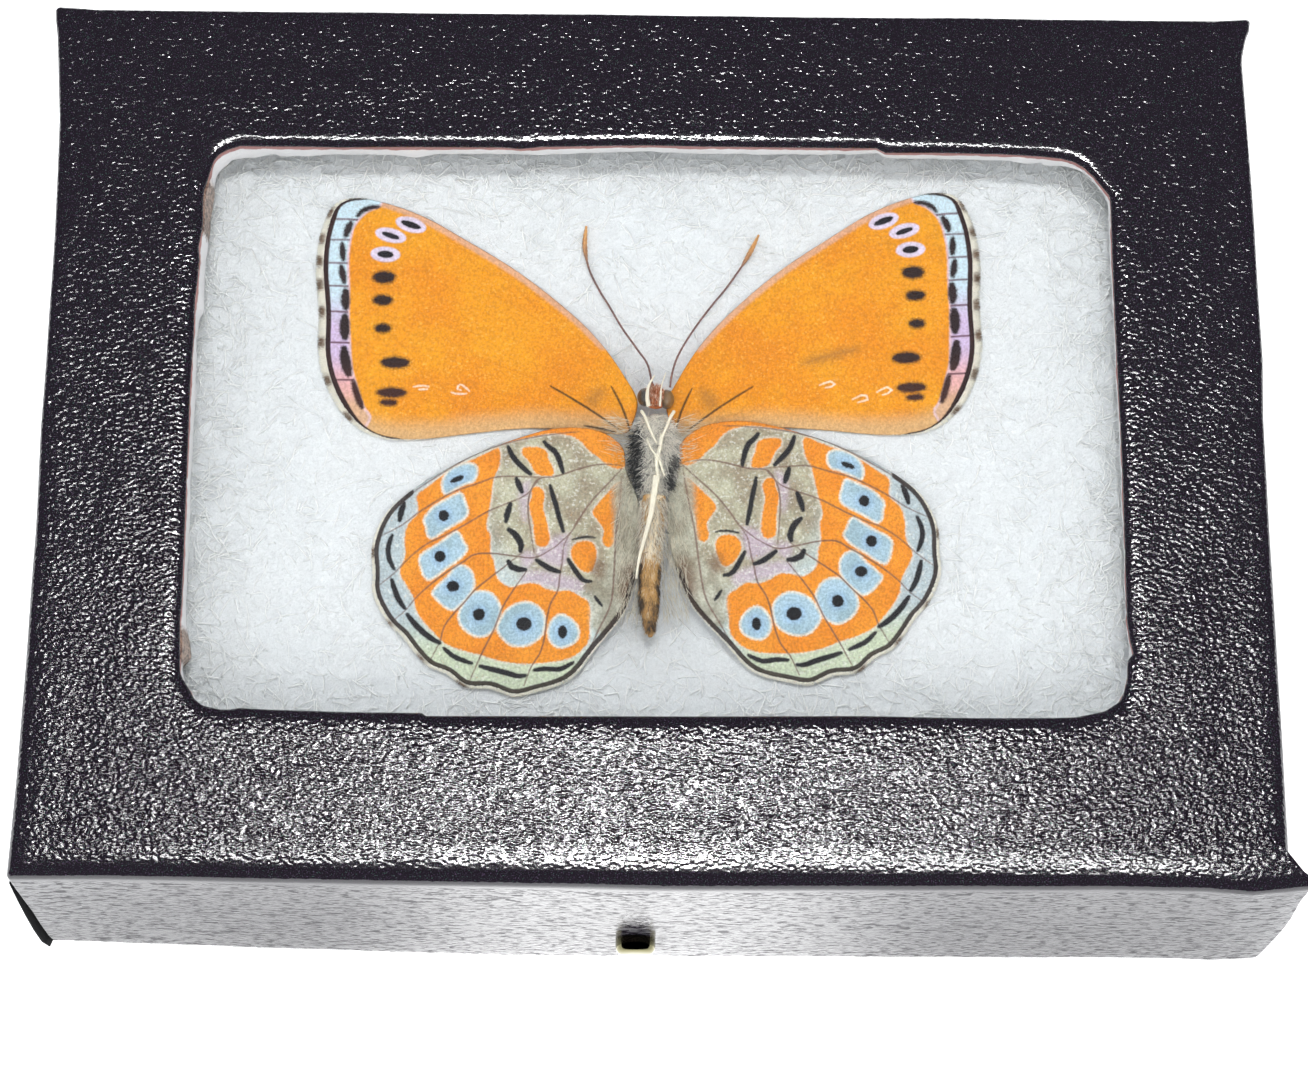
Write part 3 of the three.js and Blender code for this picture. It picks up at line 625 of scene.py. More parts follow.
def stretched(tree, place, scale, turn=0.0):
    return add(tree, "ShaderNodeMapping", {
        "Vector": place, "Scale": scale, "Rotation": (0, 0, turn)}).outputs[0]


def bump(tree, height, distance, strength=1.0):
    return add(tree, "ShaderNodeBump", {
        "Height": height, "Distance": distance, "Strength": strength}).outputs[0]


def read(tree, name):
    return add(tree, "ShaderNodeAttribute", attribute_name=name).outputs["Fac"]


def new_group(name, inputs, outputs):
    """A shared effect. Returns the group and the nodes for its inputs and outputs."""
    group = bpy.data.node_groups.new(name, "ShaderNodeTree")
    for label, value in inputs.items():
        kind = "NodeSocketFloat" if isinstance(value, (int, float)) else "NodeSocketVector"
        made = group.interface.new_socket(label, in_out="INPUT", socket_type=kind)
        if kind == "NodeSocketFloat":
            made.default_value = value
    for label, kind in outputs.items():
        group.interface.new_socket(label, in_out="OUTPUT", socket_type="NodeSocket" + kind)
    start = group.nodes.new("NodeGroupInput")
    end = group.nodes.new("NodeGroupOutput")
    return group, start, end


def use(tree, name, inputs):
    """Places a shared effect in a material, with its own values."""
    return add(tree, "ShaderNodeGroup", inputs, node_tree=bpy.data.node_groups[name]).outputs


def new_material(name, **constant):
    """A material with one Principled shader, whose constant values are set here."""
    material = bpy.data.materials.new(name)
    material.use_nodes = True
    tree = material.node_tree
    shader = tree.nodes["Principled BSDF"]
    for key, value in constant.items():
        socket = shader.inputs[key.replace("_", " ")]
        socket.default_value = paint(value) if isinstance(value, tuple) else value
    place = tree.nodes.new("ShaderNodeTexCoord").outputs["Object"]
    return material, tree, shader, place


def link(tree, shader, **values):
    for key, value in values.items():
        tree.links.new(value, shader.inputs[key.replace("_", " ")])


def build_groups():
    """The effects that more than one material uses."""
    tree, start, end = new_group(
        "Embossed grain", {"Place": (0, 0, 0), "Width": 0.0005},
        {"Height": "Float", "Patches": "Float", "Specks": "Float"})
    scale = calc(tree, "DIVIDE", 1.0, start.outputs["Width"])
    long = stretched(tree, start.outputs["Place"], (0.8, 1.05, 1.15))
    folds = noise(tree, long, scale, 0.0, 0.5, 0.2)
    fine = noise(tree, long, times(tree, scale, 2.7), 1.0, 0.6, 0.1)
    link(tree, end, Height=plus(tree, folds, times(tree, fine, 0.12)),
         Patches=noise(tree, long, times(tree, scale, 0.16), 3.0, 0.6),
         Specks=noise(tree, start.outputs["Place"], times(tree, scale, 3.4), 1.0, 0.5))

    tree, start, end = new_group(
        "Mark edge", {"Distance": 0.0, "Place": (0, 0, 0), "Softness": 0.06, "Raggedness": 0.1},
        {"Mask": "Float"})
    grain = noise(tree, start.outputs["Place"], 9000.0, 2.0, 0.6)
    ragged = times(tree, minus(tree, grain, 0.5), start.outputs["Raggedness"])
    soft = start.outputs["Softness"]
    link(tree, end, Mask=fade(tree, plus(tree, start.outputs["Distance"], ragged), soft,
                              times(tree, soft, -1.0)))

    tree, start, end = new_group(
        "Wing scales", {"Place": (0, 0, 0), "Size": 0.00012},
        {"Shade": "Float", "Specks": "Float", "Height": "Float"})
    scale = calc(tree, "DIVIDE", 1.0, start.outputs["Size"])
    rows = stretched(tree, start.outputs["Place"], (1.0, 0.55, 1.0), 0.5)
    shade = cells(tree, rows, scale, output="Color")
    cloud = noise(tree, start.outputs["Place"], 6000.0, 2.0, 0.6)
    dots = noise(tree, start.outputs["Place"], 6500.0, 2.0, 0.5)
    link(tree, end, Height=cells(tree, rows, scale), Specks=fade(tree, dots, 0.66, 0.74),
         Shade=plus(tree, times(tree, shade, 0.45), fade(tree, cloud, 0.33, 0.67, 0.0, 0.55)))


def paper_material(name, color, grain, depth, roughness=0.09):
    """Black embossed paper with a gloss whose relief takes the glints, and painted glint specks."""
    material, tree, shader, place = new_material(name, IOR=1.7)
    effect = use(tree, "Embossed grain", {"Place": place, "Width": grain})
    worn = fade(tree, effect["Patches"], 0.3, 0.75)
    # Painted glints: coloured specks in the base colour that stand in for the embossed grain's sparkle.
    glint_colors = mix(tree, fade(tree, noise(tree, place, 5200.0, 1, 0.5), 0.4, 0.6),
               (0.11, 0.07, 0.13), (0.055, 0.115, 0.09))
    glint_specked = mix(tree, fade(tree, effect["Specks"], 0.58, 0.8), color, glint_colors)
    relief = bump(tree, effect["Height"], depth, minus(
        tree, 1.0, times(tree, read(tree, "stretch"), 0.75)))
    dashes = noise(tree, stretched(tree, place, (0.5, 1, 2.2)), 2300.0, 2, 0.6)
    dull = times(tree, fade(tree, dashes, 0.5, 0.6, 0.0, 0.5), read(tree, "wall"))
    link(tree, shader, Base_Color=glint_specked, Normal=relief,
         Roughness=plus(tree, plus(tree, dull, roughness), times(tree, worn, 0.015)))
    return material


def board_material(name, color):
    """Pulpy board, white where the knife cut it, pink-brown under the paper and where torn."""
    material, tree, shader, place = new_material(name, Specular_IOR_Level=0.25)
    pulp = noise(tree, place, 3800.0, 4, 0.7, 0.5)
    split = add(tree, "ShaderNodeSeparateXYZ", {0: place}).outputs
    ground = mix(tree, fade(tree, pulp, 0.35, 0.7), color, tuple(min(c * 1.12, 0.93) for c in color))
    height = plus(tree, split[2], times(tree, minus(tree, noise(tree, place, 1500.0, 3), 0.5), 0.0004))
    glued = mix(tree, fade(tree, height, 0.01808, 0.01822), ground, "B98A86")
    worn = None
    for centre, reach in (((-0.0325, 0.0172), 0.0024), ((-0.0327, -0.0157), 0.0016)):
        gap = add(tree, "ShaderNodeVectorMath", {
            0: stretched(tree, place, (1, 1, 0)), 1: (*centre, 0)}, operation="DISTANCE")
        near = fade(tree, plus(tree, gap.outputs["Value"], times(tree, pulp, 0.0012)), reach + 0.0006, reach)
        worn = near if worn is None else calc(tree, "MAXIMUM", worn, near)
    torn = mix(tree, fade(tree, pulp, 0.4, 0.6), "4A3A30", "B79A84")
    link(tree, shader, Base_Color=mix(tree, times(tree, worn, 0.8), glued, torn),
         Normal=bump(tree, pulp, 0.0001, 0.7),
         Roughness=fade(tree, pulp, 0.2, 0.8, 0.75, 0.95))
    return material


def glass_material():
    """Clear glass, faintly smeared, that lets light through to what lies under it."""
    material, tree, shader, place = new_material(
        "Clear glass", Base_Color=(0.985, 0.995, 0.99), IOR=1.5, Transmission_Weight=1.0,
        Metallic=0.0)
    smear = noise(tree, place, 60.0, 4, 0.6)
    link(tree, shader, Roughness=fade(tree, smear, 0.5, 0.85, 0.0, 0.03))
    through = add(tree, "ShaderNodeMixShader", {
        0: tree.nodes.new("ShaderNodeLightPath").outputs["Is Shadow Ray"],
        1: shader.outputs[0],
        2: add(tree, "ShaderNodeBsdfTransparent", {"Color": (0.93, 0.94, 0.935, 1)}).outputs[0]})
    tree.links.new(through.outputs[0], tree.nodes["Material Output"].inputs["Surface"])
    return material


def batting_material(color):
    """White felted fibres, with painted soft grey shade in their hollows."""
    material, tree, shader, place = new_material(
        "Polyester batting", Specular_IOR_Level=0.3, Roughness=0.9,
        Sheen_Weight=0.25, Sheen_Roughness=0.5)
    felt = noise(tree, place, 3400.0, 6, 0.7, 1.6)
    fluff = noise(tree, place, 260.0, 4, 0.6, 0.8)
    # Painted shade: the colour darkens where the felt's relief is low.
    shade = mix(tree, fade(tree, felt, 0.32, 0.68), tuple(c * 0.77 for c in color), color)
    cloudy = mix(tree, fade(tree, fluff, 0.3, 0.75, 0.0, 0.35), shade,
                 toned(color, (0.9, 0.92, 0.94)))
    link(tree, shader, Base_Color=cloudy, Normal=bump(tree, felt, 0.00025, 0.6))
    return material


def fibre_material(color):
    """Bright single fibres."""
    material, tree, shader, place = new_material(
        "Loose fibres", Roughness=0.35, Specular_IOR_Level=0.6)
    tone = noise(tree, place, 350.0, 3, 0.6)
    link(tree, shader, Base_Color=mix(tree, fade(tree, tone, 0.3, 0.7), tuple(
        min(c * 1.06, 0.97) for c in color), (0.98, 0.98, 0.98)))
    return material


def steel_material():
    """Steel with the fine rings that turning leaves."""
    material, tree, shader, place = new_material(
        "Bright pin steel", Metallic=1.0, Base_Color=(0.16, 0.15, 0.085))
    scratches = noise(tree, stretched(tree, place, (1, 6, 1)), 2400.0, 4, 0.7)
    link(tree, shader, Roughness=fade(tree, scratches, 0.35, 0.8, 0.05, 0.2),
         Normal=bump(tree, scratches, 0.000008, 0.4))
    return material


def painted(tree, ground, place, marks):
    """Paints marks over the ground, one after another.

    Each has its distance, which is below zero inside it, or the name of the attribute that holds
    it. Its colour, softness, raggedness and, where it is thin, its share follow.
    """
    for distance, color, soft, ragged, *share in marks:
        if isinstance(distance, str):
            distance = read(tree, distance)
        mask = use(tree, "Mark edge", {
            "Distance": distance, "Place": place, "Softness": soft, "Raggedness": ragged})["Mask"]
        ground = mix(tree, times(tree, mask, share[0]) if share else mask, ground, color)
    return ground


def wing_material(name, sheen):
    """A material of overlapping scales, and what it paints with."""
    material, tree, shader, place = new_material(
        name, Roughness=0.62, Specular_IOR_Level=0.12, Sheen_Weight=sheen, Sheen_Roughness=0.4)
    scales = use(tree, "Wing scales", {"Place": place, "Size": 0.00013})
    link(tree, shader, Normal=bump(tree, scales["Height"], 0.00003, 0.5))
    return material, tree, shader, place, scales


def forewing_material(wings):
    """Orange with a pale, veined border, black spots and three ringed eyespots."""
    material, tree, shader, place, scales = wing_material("Forewing scales", 0.02)
    orange = tuple(wings.orange)
    along, cloud = read(tree, "along"), noise(tree, place, 180.0, 4, 0.6)
    ground = mix(tree, fade(tree, cloud, 0.3, 0.7), toned(orange, (0.95, 0.86, 0.8)),
                 toned(orange, (1.03, 1.16, 1.6)))
    ground = mix(tree, times(tree, scales["Specks"], 0.6), ground, "BF6A12")
    pale = fade(tree, noise(tree, place, 5000.0, 2, 0.55), 0.6, 0.7, 0.0, 0.45)
    ground = mix(tree, pale, ground, "FFC46A")
    inner = plus(tree, read(tree, "inner"), times(tree, cloud, 0.8))
    ground = mix(tree, fade(tree, inner, 2.4, 0.7), ground, "CFA572")
    border = mix(tree, fade(tree, along, 12.5, 9.0), "C6DCEA", "CBB7DA")
    border = mix(tree, fade(tree, along, 7.5, 4.5), border, "DDAAA8")
    border = mix(tree, fade(tree, along, 4.6, 3.0), border, "D0A888")
    band = read(tree, "band")
    split = calc(tree, "MAXIMUM", minus(tree, read(tree, "vein"), 0.04), plus(tree, band, 0.1))
    dark = mix(tree, fade(tree, along, 7.6, 4.2), tuple(wings.black), "3A1A16")
    ground = painted(tree, ground, place, [
        ("costa", "D2A58E", 0.16, 0.3, 0.8),
        ("vein", "C9760F", 0.06, 0.08, 0.3),
        ("smudge", "9A6A35", 0.5, 0.6, 0.6),
        (band, "D9BDC6", 0.1, 0.15),
        (plus(tree, band, 0.16), border, 0.12, 0.15),
        (split, "5E3346", 0.055, 0.05, 0.9),
        ("halo", "D9CDE6", 0.09, 0.12),
        ("scuff", "F8E2D6", 0.06, 0.12, 0.9),
        ("root_vein", "341F0B", 0.06, 0.1, 0.9),
        ("spot", dark, 0.19, 0.45),
        ("dash", dark, 0.12, 0.3),
        ("pupil", "0E0814", 0.07, 0.16),
        ("rim", "2C1211", 0.06, 0.12),
    ])
    link(tree, shader, Base_Color=mix(tree, 0.5, ground, mix(
        tree, scales["Shade"], (0.5, 0.42, 0.35), (1.3, 1.3, 1.28)), "MULTIPLY"))
    return material


def hindwing_material(wings):
    """Grey and pale blue with an orange ring of eyespots, black lines and fine veins."""
    material, tree, shader, place, scales = wing_material("Hindwing scales", 0.03)
    cloud = noise(tree, place, 420.0, 4, 0.65)
    rim = read(tree, "rim")
    ground = mix(tree, fade(tree, cloud, 0.35, 0.68), toned(wings.grey, (0.86, 0.86, 0.86)),
                 "BDBBA4")
    ground = mix(tree, fade(tree, read(tree, "outer"), 7.5, 10.5), ground, mix(
        tree, fade(tree, cloud, 0.35, 0.7), "B7C6C4", "C6D3DA"))
    ground = painted(tree, ground, place, [("lilac", "C0AFC0", 0.35, 0.6, 0.8)])
    border = mix(tree, fade(tree, read(tree, "along"), -12.5, -15.5), "B2BEC4", "C4CEB4")
    reach = times(tree, fade(tree, rim, 2.9, 2.3), fade(tree, read(tree, "across"), 4.0, 6.0))
    ground = mix(tree, reach, ground, border)
    ground = mix(tree, times(tree, scales["Specks"], 0.6), ground, "C79C76")
    pale = fade(tree, noise(tree, place, 4200.0, 2, 0.55), 0.56, 0.66, 0.0, 0.55)
    ground = mix(tree, pale, ground, "E2E2DC")
    orange = tuple(wings.ring_orange)
    amber = mix(tree, fade(tree, cloud, 0.3, 0.7), toned(orange, (0.93, 0.93, 0.93)),
                toned(orange, (1.04, 1.2, 1.5)))
    blue = mix(tree, fade(tree, cloud, 0.3, 0.7), tuple(wings.blue), "ADC8DA")
    bare = mix(tree, fade(tree, cloud, 0.35, 0.65), "928C7A", "C2C0B0")
    ring, eyes = read(tree, "orange"), read(tree, "ocellus")
    ground = painted(tree, ground, place, [
        (minus(tree, ring, 0.13), "DCD3C4", 0.14, 0.3, 0.7),
        (ring, amber, 0.08, 0.3),
        (eyes, "E2D8C8", 0.09, 0.3),
        (plus(tree, eyes, 0.16), blue, 0.12, 0.2),
        (minus(tree, read(tree, "pupil"), 0.28), "93B4D6", 0.3, 0.3, 0.6),
        ("anal", bare, 0.35, 0.7, 0.9),
        ("stain", "6A4630", 0.6, 0.8, 0.75),
        ("vein", "6E4D45", 0.05, 0.06, 0.85),
        ("line", "1A161B", 0.07, 0.16),
        ("pupil", "0C070D", 0.07, 0.25),
        (minus(tree, rim, 0.36), "2B1812", 0.06, 0.12, 0.95),
    ])
    link(tree, shader, Base_Color=mix(tree, 0.55, ground, mix(
        tree, scales["Shade"], (0.45, 0.44, 0.42), (1.38, 1.37, 1.37)), "MULTIPLY"))
    return material


def hair_material(name, dark, light, roughness=0.55, middle=None):
    """Hairs that go from dark, by a middle colour if one is given, to light with their tone."""
    material, tree, shader, place = new_material(
        name, Roughness=roughness, Specular_IOR_Level=0.35)
    tone = plus(tree, read(tree, "tone"), times(tree, minus(tree, noise(tree, place, 3000.0, 3), 0.5), 0.5))
    color = mix(tree, fade(tree, tone, 0.0, 1.0), dark, light)
    if middle is not None:
        color = mix(tree, fade(tree, tone, 0.5, 1.0), mix(
            tree, fade(tree, tone, 0.0, 0.5), dark, middle), light)
    link(tree, shader, Base_Color=color)
    return material


def eye_material():
    """Dark, glossy and finely faceted."""
    material, tree, shader, place = new_material(
        "Dark eyes", Specular_IOR_Level=0.7, Coat_Weight=0.6, Coat_Roughness=0.08)
    facets = cells(tree, place, 22000.0)
    link(tree, shader, Roughness=fade(tree, facets, 0, 1, 0.18, 0.4),
         Base_Color=mix(tree, fade(tree, noise(tree, place, 900.0), 0.35, 0.7), "120A06", "6E4E24"),
         Normal=bump(tree, facets, 0.00001, 0.5))
    return material


# Lid, glass and tray


def lid_outline(inset):
    return round_outline((BOX[0] - 2 * inset, BOX[1] - 2 * inset), max(CORNER - inset, 0.2))


def window_outline():
    return round_outline(WINDOW, WINDOW_RADIUS, WINDOW_CENTRE)


def by_side(table, places):
    """What a table of places and values gives at each place."""
    return np.interp(places, *np.array(sorted(table)).T)


def lid_ring(inset, z):
    """The lid's outline at one height, bowed as the old board and paper are.

    The inset may be one number or one for each point.
    """
    ring = lid_outline(0)
    inward = lid_outline(1) - ring
    inset = np.broadcast_to(inset, len(ring))
    x, y = ring[:, 0], ring[:, 1]
    beside = np.clip(np.abs(x) - BOX[0] / 2 + 1, 0, 1)
    beyond = np.clip(np.abs(y) - BOX[1] / 2 + 1, 0, 1)
    share = 0.45 + 0.55 * min(max(z / 17, 0), 1)
    moved = ring + inward * inset[:, None]
    moved[:, 0] += np.where(x > 0, by_side(RIGHT_BOW, y), -by_side(LEFT_BOW, y)) * beside * share
    low = min(max(BEND - z, 0) / (BEND - LID_FOOT), 1)
    front = by_side(FRONT_BOW, x) * share + by_side(FOOT_FLARE, x) * low
    moved[:, 1] += np.where(y > 0, by_side(BACK_BOW, x), -front) * beyond
    return moved


def corner_flare(z):
    """The paper's loose fold at the front right-hand corner, as a push outwards."""
    ring = lid_outline(0)
    push = np.interp(z, [LID_FOOT, 2, 6, 10, 15, WALL_TOP, 18.6, BOX_TOP],
                     [0.2, 0.35, 0.65, 0.85, 0.7, 0.8, 1.2, 1.1])
    reach = np.interp(z, [16, 18.4], [1.7, 0.55])
    gap = np.linalg.norm(ring - np.array(EAR), axis=1)
    return (np.exp(-(gap / reach) ** 2) * push)[:, None] * np.array((1.0, -0.12))


def cut_outline(trace):
    """A traced edge of the window, with one point for each point of the lid's outline."""
    ring = window_outline()
    normal = outward(ring)
    first = np.array(trace)
    edge = np.roll(first, -1, axis=0) - first
    away = first[None] - ring[:, None]
    across = normal[:, None, 0] * edge[None, :, 1] - normal[:, None, 1] * edge[None, :, 0]
    across = np.where(np.abs(across) < 1e-9, 1e-9, across)
    distance = (away[..., 0] * edge[None, :, 1] - away[..., 1] * edge[None, :, 0]) / across
    share = (away[..., 0] * normal[:, None, 1] - away[..., 1] * normal[:, None, 0]) / across
    distance = np.where((share >= -0.001) & (share <= 1.001), distance, 99)
    nearest = distance[np.arange(len(ring)), np.abs(distance).argmin(axis=1)]
    return ring + normal * np.clip(nearest, -1.5, 1.5)[:, None]


def under_edge(inset, radius, drop):
    """Rows that turn from the wall to the top, under the paper's rounded edge."""
    rows = []
    for step in range(5):
        angle = step / 4 * math.pi / 2
        ring = lid_ring(inset + radius * (1 - math.cos(angle)), BEND)
        rows.append(at_height(ring, BOX_TOP - drop - radius * (1 - math.sin(angle))))
    return rows


def build_lid_paper(material):
    """The black paper: up the walls, over the top and round the window's edge."""
    count = len(lid_outline(0))
    inward = lid_outline(1) - lid_outline(0)
    weight = np.abs(inward)
    round_off = np.where(inward[:, 1] > 0, 1.15, 0.35) * weight[:, 1] + 0.5 * weight[:, 0]
    round_off /= weight.sum(axis=1)
    uneven = outward(lid_outline(0)) * ripple(1, count, (9, 14, 23, 37), 0.04)[:, None]
    rows = []
    for z in (LID_FOOT, 0.66, 0.85, 1.2, 2, 3, 4, 5, 6, 7, 9, 11, 13, 15, 16.5, 17.4):
        inset = 0.22 if z == LID_FOOT else 0.08 if z < 0.7 else 0.0
        rows.append(at_height(lid_ring(inset, z) + corner_flare(z) + uneven, z))
    for step in range(9):
        angle = step / 8 * math.pi / 2
        row = lid_ring(round_off * (1 - math.cos(angle)), 17.9) + corner_flare(
            17.9 + step / 8 * 1.1) + uneven
        rows.append(np.column_stack([row, BOX_TOP - round_off * (1 - math.sin(angle))]))
    outer = rows[-1].copy()
    edge = cut_outline(PAPER_EDGE)
    away = outward(window_outline())
    lip = [(1.0, 0.0), (0.82, 0.01), (0.66, 0.028), (0.36, 0.077), (0.24, 0.112), (0.14, 0.165),
           (0.06, 0.24), (0.0, 0.35), (0.03, 0.41), (0.5, 0.34)]
    start = at_height(edge + away * lip[0][0], BOX_TOP)
    for share in np.linspace(0, 1, 10)[1:]:
        row = outer + (start - outer) * share
        row[:, 2] += ripple(int(share * 80), count, (5, 9, 16), 0.03) * math.sin(share * 3.14)
        rows.append(row)
    wave = ripple(31, count, (17, 31, 53, 79), 0.03)
    for back, drop in lip[1:]:
        rows.append(at_height(edge + away * (back * (1 + wave * 4))[:, None], BOX_TOP - drop))
    rows += under_edge(PAPER + 0.1, EDGE - PAPER, PAPER + 0.1)[::-1]
    rows.append(at_height(lid_ring(PAPER, 3), 3))
    rows.append(at_height(lid_ring(PAPER, LID_FOOT), LID_FOOT + 0.05))
    bm = sheet_of(rows)
    bmesh.ops.bridge_loops(bm, edges=[e for e in bm.edges if e.is_boundary])
    bmesh.ops.recalc_face_normals(bm, faces=bm.faces)
    mesh = to_mesh(bm)
    places = points_of(mesh)
    gap = np.abs(np.linalg.norm(places[:, None, :2] - edge[None, ::3], axis=2).min(axis=1))
    stretch = np.clip((-29.9 - places[:, 1]) / 1.2, 0, 1) * (places[:, 1] > -33)
    stretch = np.maximum(stretch, np.clip((1.15 - gap) / 0.3, 0, 1) * (places[:, 1] > 19))
    wall = places[:, 2] < WALL_TOP
    store(mesh, "stretch", np.where(wall, 0.75, stretch * (places[:, 2] > 16)))
    store(mesh, "wall", wall.astype(float))
    return finish("lid_wrap", mesh, material, "lid_paper")


def build_corner_fold(material):
    """The dull fold of the paper that stands along the front left-hand corner."""
    places = [(-43.72, -32.45, 17.6), (-43.66, -32.72, 14), (-43.6, -32.95, 10), (-43.5, -33.15, 6),
              (-43.38, -33.25, 2.8), (-43.3, -33.2, 1.3)]
    widths = (0.02, 0.1, 0.18, 0.26, 0.3, 0.1)
    rows = []
    for (x, y, z), width in zip(places, widths):
        rows.append([(x, y, z), (x - width, y + width * 0.2, z), (x - width * 0.8, y + 0.4, z),
                     (x + 0.2, y + 0.5, z)])
    bm = sheet_of([np.array(row) for row in rows])
    bmesh.ops.holes_fill(bm, edges=[e for e in bm.edges if e.is_boundary])
    bmesh.ops.recalc_face_normals(bm, faces=bm.faces)
    piece = finish("corner_fold", to_mesh(bm), material, None)
    piece.visible_glossy = False
    return piece


def build_lid_board(material):
    """The board under the paper, whose torn edge shows inside the window."""
    edge, foot = cut_outline(PAPER_EDGE), cut_outline(BOARD_EDGE)
    away = outward(window_outline())
    count = len(edge)
    rows = [at_height(lid_ring(PAPER + 0.02, z), z) for z in (LID_FOOT, 4)]
    rows += under_edge(PAPER + 0.12, EDGE - PAPER + 0.15, PAPER + 0.14)
    top = BOX_TOP - PAPER - 0.2
    rows.append(at_height(edge + away * 1.6, top + 0.04))
    rows.append(at_height(edge + away * 0.6, top - 0.06))
    steps = 14
    for step in range(steps + 1):
        share = step / steps
        rough = ripple(40 + step, count, (61, 97, 131, 173), 0.045)
        rough = rough + ripple(90, count, (23, 41, 67), 0.04)
        belly = 0.05 * math.sin(share * 3.14)
        ring = edge * (1 - share) + foot * share + away * (rough + 0.02 - belly)[:, None]
        rows.append(at_height(ring, top - 0.1 - (top - 0.1 - LID_INNER_TOP) * share))
    rows.append(at_height(lid_outline(LID_WALL), LID_INNER_TOP))
    rows.append(at_height(lid_outline(LID_WALL), LID_FOOT))
    rows.append(rows[0])
    return finish("lid_board_cut", to_mesh(sheet_of(rows)), material, "lid_board")


def build_pin(name, facing, material):
    """A pin through a wall: a thick flat head outside, and the shank's point inside."""
    profile = [(0, 0), (0.7, 0.02), (1, 0.06), (1.2, 0.14), (1.33, 0.28), (1.4, 0.48),
               (1.42, 0.7), (1.42, 1.05), (1.38, 1.25), (1.2, 1.35), (0.5, 1.38), (0.4, 1.44),
               (0.4, 5), (0.4, 9.3), (0.25, 10.2), (0, 11)]
    bm = bmesh.new()
    out = PIN_OUT[facing]
    verts = [bm.verts.new((PIN_X + r, facing * (BOX[1] / 2 + out - d), PIN_Z)) for r, d in profile]
    edges = [bm.edges.new(pair) for pair in zip(verts, verts[1:])]
    bmesh.ops.spin(bm, geom=verts + edges, cent=(PIN_X, 0, PIN_Z), axis=(0, 1, 0),
                   angle=2 * math.pi, steps=48, use_merge=True)
    bmesh.ops.remove_doubles(bm, verts=bm.verts, dist=1e-5)
    bmesh.ops.recalc_face_normals(bm, faces=bm.faces)
    node = "pin_front" if facing < 0 else "pin_back"
    return finish(name, to_mesh(bm), material, node)


# Batting


def batting_height(x, y):
    """The pad's top, hollowed under the body."""
    along = np.exp(-(((y + 3.5) / 12.5) ** 6))
    across = x - MIDLINE
    return BATTING_TOP - along * (
        2.0 * np.exp(-((across / 5.6) ** 2)) + 0.75 * np.exp(-((across / 2.6) ** 2)))


def build_batting(material):
    """A pad with a soft uneven top, rounded over at the tray's walls."""
    rng = np.random.default_rng(11)
    bm = bmesh.new()
    bmesh.ops.create_grid(bm, x_segments=190, y_segments=136, size=1)
    flat = np.array([v.co[:2] for v in bm.verts]) * (BATTING[0] / 2, BATTING[1] / 2)
    x, y = flat[:, 0], flat[:, 1]
    rise = np.zeros(len(flat))
    for _ in range(50):
        wave = rng.normal(size=2) * rng.uniform(0.6, 3.2)
        rise += np.sin(flat @ wave + rng.uniform(0, 6.3)) / (0.6 + np.linalg.norm(wave))
    rise *= 0.05 / np.abs(rise).max()
    edge = np.minimum(BATTING[0] / 2 - np.abs(x), BATTING[1] / 2 - np.abs(y))
    height = batting_height(x, y) + rise - 0.5 * np.exp(-edge / 0.5)
    for vert, z in zip(bm.verts, height):
        vert.co = (vert.co.x * BATTING[0] / 2, vert.co.y * BATTING[1] / 2, z)
    rim = [e for e in bm.edges if e.is_boundary]
    made = bmesh.ops.extrude_edge_only(bm, edges=rim)["geom"]
    for vert in (v for v in made if isinstance(v, bmesh.types.BMVert)):
        vert.co.z = BATTING_BASE
    bmesh.ops.contextual_create(bm, geom=[e for e in bm.edges if e.is_boundary])
    bmesh.ops.triangulate(bm, faces=[f for f in bm.faces if len(f.verts) > 4])
    bmesh.ops.recalc_face_normals(bm, faces=bm.faces)
    return finish("batting_pad", to_mesh(bm), material, "batting")


def build_fibres(fill, material):
    """Fine curled fibres on the batting, thickest along its edges."""
    rng = np.random.default_rng(23)
    count, steps = fill.fibres, 5
    half = np.array(BATTING) / 2 - 0.5
    roots = rng.uniform(-1, 1, (count, 2)) * half
    edge = rng.random(count) < 0.42
    side = rng.integers(0, 4, count)
    depth = rng.gamma(1.5, 1.2, count)
    window = np.array([WINDOW_CENTRE[0] + WINDOW[0] / 2, WINDOW_CENTRE[1] + WINDOW[1] / 2])
    low = np.array([WINDOW_CENTRE[0] - WINDOW[0] / 2, WINDOW_CENTRE[1] - WINDOW[1] / 2])
    for index, (axis, sign) in enumerate(((1, 1), (1, -1), (0, 1), (0, -1))):
        chosen = edge & (side == index)
        limit = window[axis] if sign > 0 else low[axis]
        roots[chosen, axis] = limit + sign * (0.9 - depth[chosen])
    roots = np.clip(roots, -half, half)
    heading = rng.uniform(0, 2 * math.pi, count)
    bend = rng.normal(0, 1.0, count)
    length = rng.gamma(3.0, 0.3, count) + 0.45
    paths = np.empty((count, steps, 3))
    place = roots.copy()
    for s in range(steps):
        if s:
            turn = heading + bend * (s / steps)
            place = place + np.column_stack([np.cos(turn), np.sin(turn)]) * (
                length / (steps - 1))[:, None]
        place = np.clip(place, -half - 0.2, half + 0.2)
        paths[:, s, :2] = place
        lift = 0.03 + rng.uniform(0, 0.09, count) + np.where(edge, 0.2, 0.05) * math.sin(
            math.pi * s / (steps - 1)) * rng.random(count)
        paths[:, s, 2] = batting_height(place[:, 0], place[:, 1]) + lift
    under = (np.abs(paths[..., 0]) < 25) & (paths[..., 1] > -18.5) & (paths[..., 1] < 20)
    top = np.where(under, 14.54, 14.92)
    paths[..., 2] = np.minimum(paths[..., 2], top)
    radii = np.full((count, steps), fill.fibre_radius / MM) * rng.uniform(0.6, 1.3, (count, 1))
    radii[:, [0, -1]] *= 0.5
    return finish("batting_fibres", strands(paths, radii), material, None)


# Wings


